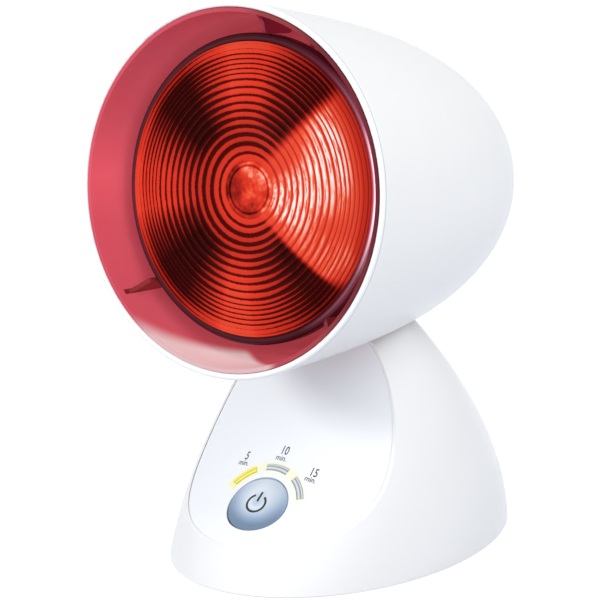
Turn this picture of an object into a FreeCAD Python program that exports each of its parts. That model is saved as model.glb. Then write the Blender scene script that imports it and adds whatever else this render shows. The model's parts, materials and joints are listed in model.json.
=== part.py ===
"""Infrared heat therapy lamp: a bell shaped lamp head that tilts on a moulded base.

The base is an oval dome whose front is scooped out and closed by a control fascia with one
button and three time lights.  The dome's narrow top enters a slot in the underside of the head,
where a steel axle carries the head.  The head holds a pressed glass reflector bulb (PAR38, E27).

Frame: millimetres, +Z up, front towards -Y, symmetric about X = 0.  The origin is the centre of
the footprint on the resting plane.  Head pieces are drawn in the head's own frame (+Y along the
bulb axis from the lip backwards, +Z away from the slot) and then placed by head_to_lamp.
"""
import FreeCAD, Part
import math
import os

Vector = FreeCAD.Vector
X_AXIS = Vector(1, 0, 0)
Y_AXIS = Vector(0, 1, 0)
Z_AXIS = Vector(0, 0, 1)

# --- driving dimensions: head --------------------------------------------------------------------
head_tilt = 10.2            # the bulb axis points up by this angle at rest, degrees
pivot_along = 88.1          # the hinge lies this far behind the lip plane
pivot_inset = 18.9          # and this far inside the head's underside
lip_nose = 1.2              # half thickness of the rounded lip edge
head_taper = 0.12           # radius lost per millimetre before the dome closes
head_wall = 2.4
slot_side = 1.8             # the slot's side edges, outside the hinge ears
slot_front_reach = 38.1     # the slot's ends, in front of and behind the hinge
slot_rear_reach = 39.9
slot_height = 29.5          # top of the cutting tool above the hinge
slot_corner = 22.0
vent_count = 9
vent_width = 2.6
vent_length = 13.0
vent_inset = 8.0            # from the head's rear end
vent_span = 130.0           # degrees of the rear dome's upper side that carry vents

# --- driving dimensions: bulb --------------------------------------------------------------------
flange_radius = 61.0        # PAR38: 122 mm across
flange_front = 15.0         # the flange lies this far inside the lip
flange_lip = 3.3            # ledge around the lens
lens_step = 1.0             # edge of the lens in front of the ledge
lens_crown = 2.7            # middle of the lens in front of its edge
lens_seat = 2.5             # thickness of the lens's half of the flange
reflector_seat = 3.0        # thickness of the reflector's half of the flange
reflector_length = 75.5     # flange to shoulder
# share of the way from the flange to the shoulder, and share of the radius that is left
reflector_bow = ((0.17, 0.82), (0.45, 0.53), (0.72, 0.24))
glass_wall = 2.6
shoulder_radius = 22.0
neck_length = 11.0
neck_radius = 18.0
stem_radius = 5.0
stem_length = 23.0
filament_depth = 40.5       # the filament lies in the reflector's focus, behind the seal
filament_half = 13.0
skirt_length = 9.0
cap_radius = 13.1           # E27 screw cap
cap_pitch = 3.6
cap_turns = 7
tip_length = 6.3            # last thread to the tip of the centre contact
contact_radius = 5.0
contact_height = 1.2

# --- driving dimensions: lamp holder and shade ---------------------------------------------------
thread_wall = 1.65          # brass thread in the holder
thread_inset = 3.0          # from the holder's mouth
holder_wall = 5.4
holder_lap = 3.0            # the holder's mouth lies in front of the cap's first thread
tongue_room = 1.6           # the centre tongue's room behind the cap
holder_floor = 4.9
holder_air = 7.6            # holder to the head's rear wall
bracket_air = 3.4           # bracket to the head's wall around it
collar_thickness = 4.0
collar_width = 5.5
bracket_seat = 21.0         # the holder's mouth to the bracket
bracket_thickness = 1.6
bracket_margin = 5.5        # screw centres to the bracket's edge
bracket_post_radius = 3.6
bracket_screw_length = 7.0
shade_wall = 1.6
shade_front = 0.6
shade_reach = 25.5          # the shade's rear end behind the flange
shade_corner = 7.0          # radius where the shade turns in behind the bulb's flange
flange_air = 6.3            # between the flange and the shade
throat_air = 2.4            # between the bulb and the shade's rear flange
rib_thickness = 1.8
rib_angles = (90.0, 225.0, 315.0)
rib_start = 4.0
rib_rise_end = 2.0          # a fin reaches its full height this far in front of the flange
rib_lap = 6.5               # and ends this far behind it
rib_run_out = 8.0           # where it starts to fade into the wall

# --- driving dimensions: hinge -------------------------------------------------------------------
pivot_y = 6.0
pivot_rise = 7.5            # the hinge above the neck's rim
axle_radius = 3.0
axle_head_radius = 5.0
axle_head = 1.6
axle_overhang = 1.4
clip_thickness = 1.0
barrel_radius = 6.5
ear_clearance = 1.5         # between an ear and the neck's side
ear_thickness = 2.5
ear_radius = 8.6
ear_flange_width = 14.0
ear_flange_length = 28.0
ear_flange_rise = 7.5       # flange underside above the pivot, in the head's frame
ear_screw_spacing = 17.0
ear_screw_length = 7.0
ear_post_radius = 3.2
washer_thickness = 1.2
support_inset = 6.9         # the supports end this far inside the barrel's ends
support_half_depth = 3.6
cap_deck_drop = 1.6         # the neck cap's deck lies below the neck's rim
cap_plate = 2.2
cap_screw_side = 14.7       # screw centres from the neck's outside
cap_screw_rear = 8.2
shelf_thickness = 2.4
shelf_hole = 10.5
detent_half_width = 3.0
detent_pocket = 1.0         # room beside the notched ring
detent_notch_radius = 1.2
detent_step = 6.5           # degrees between the five tilt positions
detent_positions = (-1, 0, 1, 2, 3)
leaf_half_width = 2.4
leaf_half_length = 9.0
leaf_thickness = 0.5
leaf_nose = 0.25            # the nose stands this far above the leaf

# --- driving dimensions: base --------------------------------------------------------------------
foot_half_width = 59.5
foot_half_depth = 83.6
neck_top = 98.0
neck_half_width = 25.7
neck_half_depth = 20.6
depth_power = 1.32          # how the front and rear outlines curve in
belly_shift = 3.5           # the sections move back by this much half way up
belly_height = 110.0        # height over which they move back and forward again
base_wall = 2.4
shell_lift = 0.6            # the shell's edge stays clear of the table
plate_thickness = 2.5
fascia_shift = 3.4          # thickness measured along Y
fascia_skin = 0.9           # what is seen of the shell's edge around the fascia
fascia_reach = 8.0          # the fascia lies this near to the panel's plane around the button
pad_radius = 7.5
pad_thickness = 1.2
pad_side = 32.5             # pad centres from the footprint's outline
pad_end = 26.6
column_radius = 4.2
column_sides = (13.5, 25.5)     # the front and rear columns, from the footprint's side
column_front_y = -14.0
column_end = 39.6           # the rear columns, from the footprint's rear
plate_screw_length = 8.0
plate_screw_sink = 1.4
gland_z = 15.0
gland_radius = 5.5
gland_bore = 3.3
gland_collar = 2.0          # collar radius beyond the bush
gland_front = 12.0          # how far the bush reaches inside the wall
gland_proud = 2.4
gland_ring = 3.2            # thickness of the lock ring
post_radius = 3.0           # posts of the power board
post_height = 6.0
power_side_gap = 1.8        # the power board's sides from the rear columns
power_front = -3.0
power_rear = 49.0
power_inset = 4.5           # post centres from the board's edges
power_screw_length = 6.0
relay_size = (19.0, 16.0, 15.5)
relay_spot = (-7.5, 18.0)
capacitor_size = (18.0, 8.0, 12.0)
capacitor_spot = (15.0, 16.0)
capacitor_fillet = 1.2
buzzer_radius = 6.0
buzzer_height = 7.5
buzzer_floor = 5.5
buzzer_spot = (14.0, 31.0)
terminal_size = (21.0, 10.0, 11.0)
terminal_spot = (-1.5, 42.0)
terminal_pitch = 7.0

# --- driving dimensions: control fascia ----------------------------------------------------------
panel_y = -56.2             # centre of the button on the fascia
panel_z = 28.4
panel_slope = 38.5          # degrees from horizontal, at the button
scoop_half = 66.0
# height and y from the button's centre, and how far the sides at scoop_half fall back
scoop_lines = ((-15.4, -26.8, 30.0), (0.0, 0.0, 31.0), (16.2, 18.4, 22.0), (37.6, 34.2, 12.0),
               (75.6, 40.2, 8.0))
button_radius = 13.0
button_crown = 0.9
button_depth = 4.4
button_flange = 1.4         # reach of the flange that keeps the button in
button_flange_thickness = 1.2
button_post_radius = 2.4
button_travel = 0.8
button_rest = 0.2           # between the button's post and the switch, beyond its travel
light_gap = 5.0             # the light arcs' mid line from the button's edge
light_width = 2.6
light_half_angle = 16.5
light_step = 48.0
guide_foot = 2.0            # a light guide starts this far above the board
board_depth = 12.0          # fascia surface to the control board
board_thickness = 1.6
board_half_width = 24.0
board_low = -16.0
board_high = 24.0
board_inset = 4.0           # screw centres from the board's edges
board_screw_depth = 5.0
boss_radius = 2.6
led_size = (3.2, 2.8, 1.8)
switch_half = 3.0
switch_height = 2.6
plunger_radius = 1.7
plunger_height = 0.8
dome_foot = 9.4             # silicone dome under the button
dome_foot_thickness = 1.2
dome_skirt = 8.2
dome_top = 5.6
dome_wall = 1.4

# --- clearances ----------------------------------------------------------------------------------
seat_gap = 0.3
running_gap = 0.05
parting_gap = 0.25
guide_gap = 0.15
screw_radius = 1.4
screw_head_radius = 2.8
screw_head_height = 1.8
pole = 0.4                  # flat at the middle of each domed face
EDGE = 200.0                # larger than the lamp, for cutting tools


# --- derived places: bulb and holder, along the head's axis from the lip plane -------------------
lens_radius = flange_radius - flange_lip
lens_edge = flange_front - lens_step
lens_front = lens_edge - lens_crown
flange_joint = flange_front + lens_seat
flange_rear = flange_joint + reflector_seat
bulb_shoulder = flange_rear + reflector_length
neck_end = bulb_shoulder + neck_length
stem_tip = neck_end - stem_length
filament_plane = flange_joint + filament_depth
cap_start = neck_end + skirt_length
thread_end = cap_start + cap_pitch * cap_turns
cap_end = thread_end + tip_length
holder_cavity = cap_radius + seat_gap + thread_wall + running_gap
holder_radius = holder_cavity + holder_wall
holder_front = cap_start - holder_lap
holder_seat = cap_end + tongue_room
holder_rear = holder_seat + holder_floor
bracket_plane = holder_front + bracket_seat
collar_radius = holder_radius + collar_width
collar_screw_x = holder_radius + screw_head_radius + 0.4
bracket_screw_circle = collar_radius + screw_head_radius + 1.7
bracket_radius = bracket_screw_circle + bracket_margin
shade_rear = flange_rear + shade_reach
rib_full = flange_front - rib_rise_end
rib_end = flange_rear + rib_lap

# --- derived places: head ------------------------------------------------------------------------
lip_radius = (flange_radius + flange_air + shade_wall + seat_gap + head_wall
              + head_taper * flange_joint)
# the dome is long enough for the holder behind, and wide enough for the bracket inside it
bracket_rear = bracket_plane + bracket_thickness
bracket_room = bracket_radius + bracket_air + head_wall
dome_share = bracket_room / (lip_radius - head_taper * bracket_rear)
head_length = max(holder_rear + holder_air + head_wall,
                  bracket_rear / (1 - dome_share ** 2) ** 0.25)
vent_rear = head_length - vent_inset
vent_front = vent_rear - vent_length

# --- derived places: base and hinge --------------------------------------------------------------
# heights at which the side outline, and the front and rear outline, would close
width_apex = neck_top / math.sqrt(1 - neck_half_width / foot_half_width)
depth_apex = neck_top / (1 - neck_half_depth / foot_half_depth) ** (1 / depth_power)
pivot_z = neck_top + pivot_rise
neck_deck = neck_top - cap_deck_drop
ear_inner = neck_half_width + ear_clearance
barrel_end = ear_inner - washer_thickness - 2 * running_gap
support_reach = barrel_end - support_inset
detent_radius = pivot_z - neck_deck - leaf_thickness - leaf_nose - guide_gap
slot_half_width = ear_inner + ear_thickness + slot_side
slot_front = pivot_along - slot_front_reach
slot_rear = pivot_along + slot_rear_reach
pad_x = foot_half_width - pad_side
pad_y = foot_half_depth - pad_end
column_spots = ((foot_half_width - column_sides[0], column_front_y),
                (foot_half_width - column_sides[1], foot_half_depth - column_end))
power_half_width = column_spots[1][0] - column_radius - power_side_gap
power_level = plate_thickness + post_height         # underside of the power board
power_top = power_level + board_thickness

# --- derived places: control panel, in its own frame ---------------------------------------------
light_radius = button_radius + light_gap
switch_top = -board_depth + switch_height + plunger_height
button_foot = -button_depth - button_flange_thickness
boss_spots = ((board_half_width - board_inset, board_low + board_inset + 1.0),
              (board_half_width - board_inset, board_high - board_inset - 0.5))


# --- helpers -------------------------------------------------------------------------------------
def ring(outer, inner, start, end, axis=Y_AXIS, centre=Vector(0, 0, 0)):
    """A tube along axis, from start to end."""
    body = Part.makeCylinder(outer, end - start, centre + axis * start, axis)
    if inner > 0:
        body = body.cut(Part.makeCylinder(inner, end - start, centre + axis * start, axis))
    return body


def rod(radius, first, last):
    """A round bar between two points."""
    span = last - first
    return Part.makeCylinder(radius, span.Length, first, span)


def box(x0, x1, y0, y1, z0, z1):
    """An upright box from its limits."""
    return Part.makeBox(x1 - x0, y1 - y0, z1 - z0, Vector(x0, y0, z0))


def fuse_all(shapes):
    """One shape from touching pieces."""
    result = shapes[0]
    for shape in shapes[1:]:
        result = result.fuse(shape)
    return result.removeSplitter()


def both_sides(shape):
    """The shape and its mirror image across X = 0."""
    return [shape, shape.mirror(Vector(0, 0, 0), X_AXIS)]


def spin(edges):
    """Revolve a closed chain of edges, drawn as (radius, along), about the Y axis."""
    face = Part.Face(Part.Wire(Part.__sortEdges__(edges)))
    solid = face.revolve(Vector(0, 0, 0), Y_AXIS, 360)
    return Part.Solid(solid.Shells[0]) if solid.ShapeType != "Solid" else solid


def polyline(points):
    """Straight edges through (radius, along) points."""
    corners = [Vector(r, s, 0) for r, s in points]
    return [Part.makeLine(a, b) for a, b in zip(corners, corners[1:])]


def smooth(points):
    """A smooth edge through (radius, along) points."""
    curve = Part.BSplineCurve()
    curve.interpolate([Vector(r, s, 0) for r, s in points])
    return curve.toShape()


def arc(a, b, c):
    """A circular edge through three (radius, along) points."""
    return Part.Arc(Vector(a[0], a[1], 0), Vector(b[0], b[1], 0), Vector(c[0], c[1], 0)).toShape()


def screw(head_at, direction, length):
    """A pan head screw whose head rests on head_at and whose shank points along direction."""
    shank = Part.makeCylinder(screw_radius, length, head_at, direction)
    head = Part.makeCylinder(screw_head_radius, screw_head_height,
                             head_at - direction * screw_head_height, direction)
    slot = Part.makeBox(2 * screw_head_radius, 0.7, 0.8)
    slot.translate(Vector(-screw_head_radius, -0.35, -screw_head_height))
    slot.Placement = FreeCAD.Placement(head_at, FreeCAD.Rotation(Z_AXIS, direction)).multiply(
        slot.Placement)
    return head.fuse(shank).removeSplitter().cut(slot)


def head_to_lamp(shape):
    """Place a piece drawn in the head's frame: tilt it, and bring the hinge to its place."""
    placed = shape.copy()
    placed.translate(-hinge_in_head())
    placed.rotate(Vector(0, 0, 0), X_AXIS, -head_tilt)
    placed.translate(Vector(0, pivot_y, pivot_z))
    return placed


def hinge_in_head():
    """The hinge's middle, in the head's frame."""
    return Vector(0, pivot_along, pivot_inset - head_radius(pivot_along))


# --- head shell ----------------------------------------------------------------------------------
def head_radius(along):
    """Outside radius of the head at a distance behind the lip plane."""
    share = min(along / head_length, 1.0)
    return (lip_radius - head_taper * along) * math.sqrt(max(1 - share ** 4, 0))


def head_point(along, inward):
    """A point of the head outline moved inward along its normal."""
    step = 0.01
    low = max(along - step, 0)
    high = min(along + step, head_length)
    slope_r = head_radius(high) - head_radius(low)
    slope_s = high - low
    size = math.hypot(slope_r, slope_s)
    return (head_radius(along) - inward * slope_s / size, along + inward * slope_r / size)


def head_inner_radius(along, inward):
    """Radius of the outline moved inward, at a distance behind the lip plane."""
    low, high = along, head_length
    for _ in range(40):
        middle = (low + high) / 2
        if head_point(middle, inward)[1] < along:
            low = middle
        else:
            high = middle
    return head_point(low, inward)[0]


def head_outline(inward, start, end, count=14):
    """Outline points from start to end, closer together towards the rear dome."""
    points = []
    for i in range(count + 1):
        along = start + (end - start) * math.sin(math.pi / 2 * i / count)
        points.append(head_point(along, inward))
    return points


def head_solid(inward):
    """The head's outline moved inward, as a full solid from the lip nose to the rear."""
    outline = head_outline(inward, lip_nose, head_length - 0.02)
    outline.append((0, head_length - inward))
    front = outline[0]
    edges = [smooth(outline)]
    edges += polyline([outline[-1], (0, front[1]), front])
    return spin(edges)


def slot_cutter():
    """The opening in the underside that the base's neck stands in."""
    top = hinge_in_head().z + slot_height
    plan = box(-slot_half_width, slot_half_width, slot_front, slot_rear, -EDGE, top)
    upright = [edge for edge in plan.Edges
               if abs(edge.tangentAt(edge.FirstParameter).z) > 0.99]
    rear = [edge for edge in upright if edge.CenterOfMass.y > slot_rear - 1]
    front = [edge for edge in upright if edge.CenterOfMass.y < slot_front + 1]
    return plan.makeFillet(slot_corner, rear).makeFillet(slot_corner / 3, front)


def vents():
    """Narrow slots around the upper side of the rear dome, for the warm air."""
    cutters = []
    for i in range(vent_count):
        angle = -vent_span / 2 + vent_span * i / (vent_count - 1)
        cutter = box(-vent_width / 2, vent_width / 2, vent_front, vent_rear, vent_width, EDGE)
        cutter.rotate(Vector(0, 0, 0), Y_AXIS, angle)
        cutters.append(cutter)
    return cutters


def bracket_spots():
    """The three posts that carry the holder bracket, in the head's frame."""
    spots = []
    for angle in (90, 210, 330):
        turn = math.radians(angle)
        spots.append(Vector(bracket_screw_circle * math.cos(turn), bracket_plane,
                            bracket_screw_circle * math.sin(turn)))
    return spots


def ear_flange_level():
    """Underside of the ears' flanges, in the head's frame."""
    return hinge_in_head().z + ear_flange_rise


def ear_screw_spots():
    """The two screws of the right ear, on its flange's upper face."""
    pivot = hinge_in_head()
    across = ear_inner + ear_thickness + 0.55 * ear_flange_width
    top = ear_flange_level() + ear_thickness
    return [Vector(across, pivot.y + side * ear_screw_spacing / 2, top) for side in (-1, 1)]


def head_shell():
    """The white outer shell, its bracket posts, ear posts and mouths."""
    outer = head_outline(0, lip_nose, head_length - 0.02)
    outer.append((0, head_length))
    inner = head_outline(head_wall, lip_nose, head_length - 0.02)
    inner.append((0, head_length - head_wall))
    nose_radius = (outer[0][0] + inner[0][0]) / 2
    edges = [smooth(outer), smooth(inner)]
    edges += polyline([outer[-1], inner[-1]])
    edges.append(arc(outer[0], (nose_radius, 0), inner[0]))
    shell = spin(edges)
    envelope = head_solid(head_wall / 2)
    posts = []
    for spot in bracket_spots():
        start = spot + Y_AXIS * bracket_thickness
        posts.append(Part.makeCylinder(bracket_post_radius, head_length, start, Y_AXIS))
    for spot in ear_screw_spots():
        start = spot - Z_AXIS * ear_thickness
        posts += both_sides(Part.makeCylinder(ear_post_radius, EDGE, start, -Z_AXIS))
    for post in posts:
        shell = shell.fuse(post.common(envelope))
    shell = shell.removeSplitter().cut(slot_cutter())
    for cutter in vents():
        shell = shell.cut(cutter)
    for spot in bracket_spots():
        shell = shell.cut(Part.makeCylinder(screw_radius, bracket_screw_length + 1, spot, Y_AXIS))
    for spot in ear_screw_spots():
        hole = Part.makeCylinder(screw_radius, ear_screw_length + 1, spot, -Z_AXIS)
        for cutter in both_sides(hole):
            shell = shell.cut(cutter)
    return shell


def shade_rib(angle):
    """A fin that centres the bulb: a low toe at the lip, rising in an S to the flange."""
    wall = head_inner_radius(shade_front, head_wall + seat_gap) - shade_wall / 2
    tip = flange_radius + seat_gap
    run_out = rib_end + rib_run_out
    back_wall = head_inner_radius(run_out, head_wall + seat_gap) - shade_wall / 2
    middle = (rib_start + rib_full) / 2
    edges = [smooth([(wall - 0.6, rib_start), (wall - 1.6, rib_start + 2.5),
                     ((wall + tip) / 2, middle + 1.2), (tip + 0.5, rib_full - 1), (tip, rib_full)])]
    edges += polyline([(tip, rib_full), (tip, rib_end), (back_wall, run_out),
                       (wall, rib_start), (wall - 0.6, rib_start)])
    face = Part.Face(Part.Wire(Part.__sortEdges__(edges)))
    fin = face.extrude(Vector(0, 0, rib_thickness))
    fin.translate(Vector(0, 0, -rib_thickness / 2))
    fin.rotate(Vector(0, 0, 0), Y_AXIS, -angle)
    return fin


def shade_liner():
    """The inner shade that the red light falls on, with its rear flange and centring fins."""
    turn_in = shade_rear - shade_corner
    outer = []
    inner = []
    for i in range(6):
        along = shade_front + (turn_in - shade_front) * i / 5
        radius = head_inner_radius(along, head_wall + seat_gap)
        outer.append((radius, along))
        inner.append((radius - shade_wall, along))
    corner = outer[-1][0] - shade_corner
    edges = [smooth(outer), smooth(inner)]
    edges += polyline([outer[0], inner[0]])
    for radius in (shade_corner, shade_corner - shade_wall):
        bow = radius * math.sqrt(0.5)
        edges.append(arc((corner + radius, turn_in), (corner + bow, turn_in + bow),
                         (corner, turn_in + radius)))
    throat = reflector_radius(shade_rear - shade_wall) + throat_air
    edges += polyline([(corner, shade_rear), (throat, shade_rear),
                       (throat, shade_rear - shade_wall), (corner, shade_rear - shade_wall)])
    liner = spin(edges)
    envelope = spin([smooth(outer)] + polyline([outer[-1], (0, turn_in), (0, shade_front), outer[0]]))
    for angle in rib_angles:
        liner = liner.fuse(shade_rib(angle).common(envelope))
    return liner.removeSplitter()


# --- bulb ----------------------------------------------------------------------------------------
def bulb_lens():
    """The pressed front glass with its half of the sealed flange."""
    bow = 0.25 * (lens_edge - lens_front)
    back = lens_front + glass_wall
    edges = [arc((pole, lens_front), (lens_radius / 2, lens_front + bow), (lens_radius, lens_edge))]
    edges += polyline([(lens_radius, lens_edge), (flange_radius - 1, flange_front),
                       (flange_radius, flange_front + 1), (flange_radius, flange_joint),
                       (lens_radius - 1, flange_joint)])
    edges.append(arc((lens_radius - 1, flange_joint), (lens_radius / 2, back + 0.9), (pole, back)))
    edges += polyline([(pole, back), (0, back), (0, lens_front), (pole, lens_front)])
    return spin(edges)


def reflector_side(inward):
    """Outline of the reflector from behind the flange to the neck, moved inward."""
    drop = flange_radius - shoulder_radius
    return ([(flange_radius - 2.5 - inward, flange_rear + 0.1)]
            + [(shoulder_radius + left * drop - inward, flange_rear + way * reflector_length)
               for way, left in reflector_bow]
            + [(shoulder_radius - inward, bulb_shoulder), (neck_radius - inward, neck_end)])


def reflector_radius(along):
    """Outside radius of the reflector between two points of its outline."""
    outline = reflector_side(0)
    for (r0, s0), (r1, s1) in zip(outline, outline[1:]):
        if along <= s1:
            break
    return r0 + (r1 - r0) * (along - s0) / (s1 - s0)


def bulb_reflector():
    """The mirrored glass body behind the lens."""
    outer = reflector_side(0)
    inner = reflector_side(glass_wall)
    inner[0] = (inner[0][0], flange_joint)
    edges = [smooth(outer), smooth(inner)]
    edges += polyline([outer[-1], inner[-1]])
    edges += polyline([inner[0], (flange_radius, flange_joint), (flange_radius, flange_rear - 0.8),
                       outer[0]])
    return spin(edges)


def bulb_cap():
    """The E27 screw cap, its skirt and rolled thread drawn as rings."""
    neck = neck_radius
    outline = [(neck - glass_wall, neck_end), (neck, neck_end),
               (cap_radius + 1.6, cap_start - 2.5), (cap_radius - 0.8, cap_start)]
    edges = polyline(outline)
    for i in range(cap_turns):
        low = cap_start + cap_pitch * i
        edges.append(arc((cap_radius - 0.8, low), (cap_radius, low + cap_pitch / 2),
                         (cap_radius - 0.8, low + cap_pitch)))
    end = thread_end
    edges += polyline([(cap_radius - 0.8, end), (cap_radius - 3.2, end + 2.2),
                       (cap_radius - 4.2, end + 2.2), (cap_radius - 1.8, end - 0.4),
                       (cap_radius - 1.8, cap_start), (neck - glass_wall, neck_end)])
    return spin(edges)


def bulb_insulator():
    """The black glass button in the cap's end."""
    inner = cap_radius - 4.2
    low = thread_end + 1.0
    high = cap_end - contact_height
    return spin(polyline([(0, low), (inner, low), (inner, low + 1.4), (contact_radius + 0.2, high),
                          (0, high), (0, low)]))


def bulb_contact():
    """The centre contact."""
    low = cap_end - contact_height
    return spin([arc((contact_radius, low), (0.68 * contact_radius, low + 0.67 * contact_height),
                     (pole, cap_end))]
                + polyline([(pole, cap_end), (0, cap_end), (0, low), (contact_radius, low)]))


def bulb_stem():
    """The glass stem inside the bulb, seated in the neck."""
    stem = ring(stem_radius, 0, stem_tip, neck_end - 2)
    foot = ring(neck_radius - glass_wall - 0.1, 0, neck_end - 4, neck_end - 0.5)
    return fuse_all([stem, foot])


def filament_wires():
    """Two support wires and the filament between their tips."""
    pieces = []
    for side in (-1, 1):
        pieces.append(rod(0.6, Vector(side * (stem_radius - 2.0), stem_tip - 0.4, 0),
                          Vector(side * filament_half, filament_plane, 0)))
    reach = filament_half + 0.4
    pieces.append(rod(1.1, Vector(-reach, filament_plane, 0), Vector(reach, filament_plane, 0)))
    return fuse_all(pieces)


# --- lamp holder ---------------------------------------------------------------------------------
def lamp_holder():
    """The ceramic E27 holder with the collar that lies on the bracket."""
    body = ring(holder_radius, holder_cavity, holder_front, holder_seat)
    back = ring(holder_radius, 0, holder_seat, holder_rear)
    collar = ring(collar_radius, holder_cavity, bracket_plane - collar_thickness, bracket_plane)
    body = fuse_all([body, back, collar])
    for side in (-1, 1):
        start = Vector(side * collar_screw_x, bracket_plane - collar_thickness - 1, 0)
        hole = Part.makeCylinder(screw_radius, collar_thickness + 2, start, Y_AXIS)
        body = body.cut(hole)
    return body


def holder_thread():
    """The brass screw shell and the sprung centre tongue inside the holder."""
    shell = ring(holder_cavity - running_gap, cap_radius + seat_gap, holder_front + thread_inset,
                 thread_end)
    tongue = ring(0.8 * contact_radius, 0, cap_end + seat_gap, holder_seat)
    return [shell, tongue]


def holder_bracket():
    """The steel plate that carries the holder on the shell's three posts."""
    plate = ring(bracket_radius, holder_radius + seat_gap, bracket_plane,
                 bracket_plane + bracket_thickness)
    for spot in bracket_spots():
        plate = plate.cut(Part.makeCylinder(screw_radius, EDGE, spot - Y_AXIS * 3, Y_AXIS))
    for side in (-1, 1):
        spot = Vector(side * collar_screw_x, bracket_plane - 3, 0)
        plate = plate.cut(Part.makeCylinder(screw_radius, EDGE, spot, Y_AXIS))
    for angle in (30, 150, 270):
        window = ring(bracket_radius - 3.5, collar_radius + 3.5, bracket_plane - 1, bracket_plane + 3)
        wedge = box(-7, 7, bracket_plane - 1, bracket_plane + 3, holder_radius, bracket_radius)
        wedge.rotate(Vector(0, 0, 0), Y_AXIS, 90 - angle)
        plate = plate.cut(window.common(wedge))
    return plate


def bracket_screws():
    """Three screws into the shell's posts and two through the holder's collar."""
    screws = [screw(spot, Y_AXIS, bracket_screw_length) for spot in bracket_spots()]
    for side in (-1, 1):
        spot = Vector(side * collar_screw_x, bracket_plane - collar_thickness, 0)
        screws.append(screw(spot, Y_AXIS, collar_thickness + bracket_thickness))
    return screws


# --- hinge ---------------------------------------------------------------------------------------
def hinge_ear():
    """The right ear: a plate around the axle and a flange screwed to the shell's posts."""
    pivot = hinge_in_head()
    level = ear_flange_level()
    disc = Part.makeCylinder(ear_radius, ear_thickness, Vector(ear_inner, pivot.y, pivot.z), X_AXIS)
    web = box(ear_inner, ear_inner + ear_thickness, pivot.y - ear_radius, pivot.y + ear_radius,
              pivot.z, level + ear_thickness)
    flange = box(ear_inner, ear_inner + ear_flange_width, pivot.y - ear_flange_length / 2,
                 pivot.y + ear_flange_length / 2, level, level + ear_thickness)
    ear = fuse_all([disc, web, flange])
    ear = ear.cut(Part.makeCylinder(axle_radius, EDGE, Vector(0, pivot.y, pivot.z), X_AXIS))
    for spot in ear_screw_spots():
        ear = ear.cut(Part.makeCylinder(screw_radius, EDGE, spot + Z_AXIS, -Z_AXIS))
    return ear


def ear_screws():
    """Two screws in each ear's flange."""
    screws = []
    for spot in ear_screw_spots():
        screws += both_sides(screw(spot, -Z_AXIS, ear_screw_length))
    return screws


def hinge_axle():
    """The steel axle with a head at one end and a grooved retaining ring at the other."""
    pivot = hinge_in_head()
    outside = ear_inner + ear_thickness
    pin = Part.makeCylinder(axle_radius, 2 * outside + axle_overhang + axle_head,
                            Vector(-outside - axle_overhang, pivot.y, pivot.z), X_AXIS)
    cap = Part.makeCylinder(axle_head_radius, axle_head, Vector(outside, pivot.y, pivot.z), X_AXIS)
    return fuse_all([pin, cap])


def axle_clip():
    """The retaining ring on the axle's free end."""
    pivot = hinge_in_head()
    outside = ear_inner + ear_thickness
    centre = Vector(0, pivot.y, pivot.z)
    clip = ring(axle_head_radius, axle_radius, -outside - clip_thickness, -outside, X_AXIS, centre)
    mouth = box(-EDGE, -outside, pivot.y - axle_radius / 2, pivot.y + axle_radius / 2,
                pivot.z, EDGE)
    return clip.cut(mouth)


def detent_cam():
    """The notched ring, fixed on the axle, that holds the five tilt positions."""
    centre = Vector(0, pivot_y, pivot_z)
    cam = ring(detent_radius, axle_radius, -detent_half_width, detent_half_width, X_AXIS, centre)
    for position in detent_positions:
        turn = math.radians(position * detent_step)
        spot = centre + Vector(-EDGE, math.sin(turn) * detent_radius, -math.cos(turn) * detent_radius)
        groove = Part.makeCylinder(detent_notch_radius / 2, 2 * EDGE, spot, X_AXIS)
        cam = cam.cut(groove)
    return cam


def detent_spring():
    """The leaf spring on the neck cap whose nose rides on the notched ring."""
    leaf = box(-leaf_half_width, leaf_half_width, pivot_y - leaf_half_length,
               pivot_y + leaf_half_length, neck_deck, neck_deck + leaf_thickness)
    nose = rod(leaf_thickness + leaf_nose, Vector(-leaf_half_width, pivot_y, neck_deck),
               Vector(leaf_half_width, pivot_y, neck_deck))
    nose = nose.common(box(-EDGE, EDGE, -EDGE, EDGE, neck_deck, EDGE))
    return fuse_all([leaf, nose])


# --- base shape ----------------------------------------------------------------------------------
def base_section(height, inward):
    """Half width, half depth and centre of the dome at a height, moved inward."""
    half_width = foot_half_width * (1 - (height / width_apex) ** 2)
    half_depth = foot_half_depth * (1 - max(height / depth_apex, 0) ** depth_power)
    centre = belly_shift * math.sin(math.pi * height / belly_height)
    return half_width - inward, half_depth - inward, centre


def oval(half_width, half_depth, centre, height, count=16):
    """A smooth closed edge on an ellipse across X and Y."""
    points = []
    for i in range(count):
        turn = 2 * math.pi * i / count
        points.append(Vector(half_width * math.cos(turn), centre + half_depth * math.sin(turn), height))
    curve = Part.BSplineCurve()
    curve.interpolate(points, True)
    return curve.toShape()


def base_dome(inward, low, high, count=5):
    """The oval dome between two heights, moved inward."""
    wires = []
    for i in range(count + 1):
        height = low + (high - low) * i / count
        wires.append(Part.Wire(oval(*base_section(height, inward), height)))
    return Part.makeLoft(wires, True, False)


def scoop(shift):
    """Everything in front of the scooped surface, which is moved back by shift."""
    half = scoop_half
    wires = []
    for rise, run, fall in scoop_lines:
        height = panel_z + rise
        row = [Vector(half * share, panel_y + run + shift + fall * share ** 2, height)
               for share in (-1, -0.5, 0, 0.5, 1)]
        curve = Part.BSplineCurve()
        curve.interpolate(row)
        left_front = Vector(-half, -EDGE, height)
        right_front = Vector(half, -EDGE, height)
        edges = [curve.toShape(), Part.makeLine(row[-1], right_front),
                 Part.makeLine(right_front, left_front), Part.makeLine(left_front, row[0])]
        wires.append(Part.Wire(edges))
    return Part.makeLoft(wires, True, False)


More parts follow.
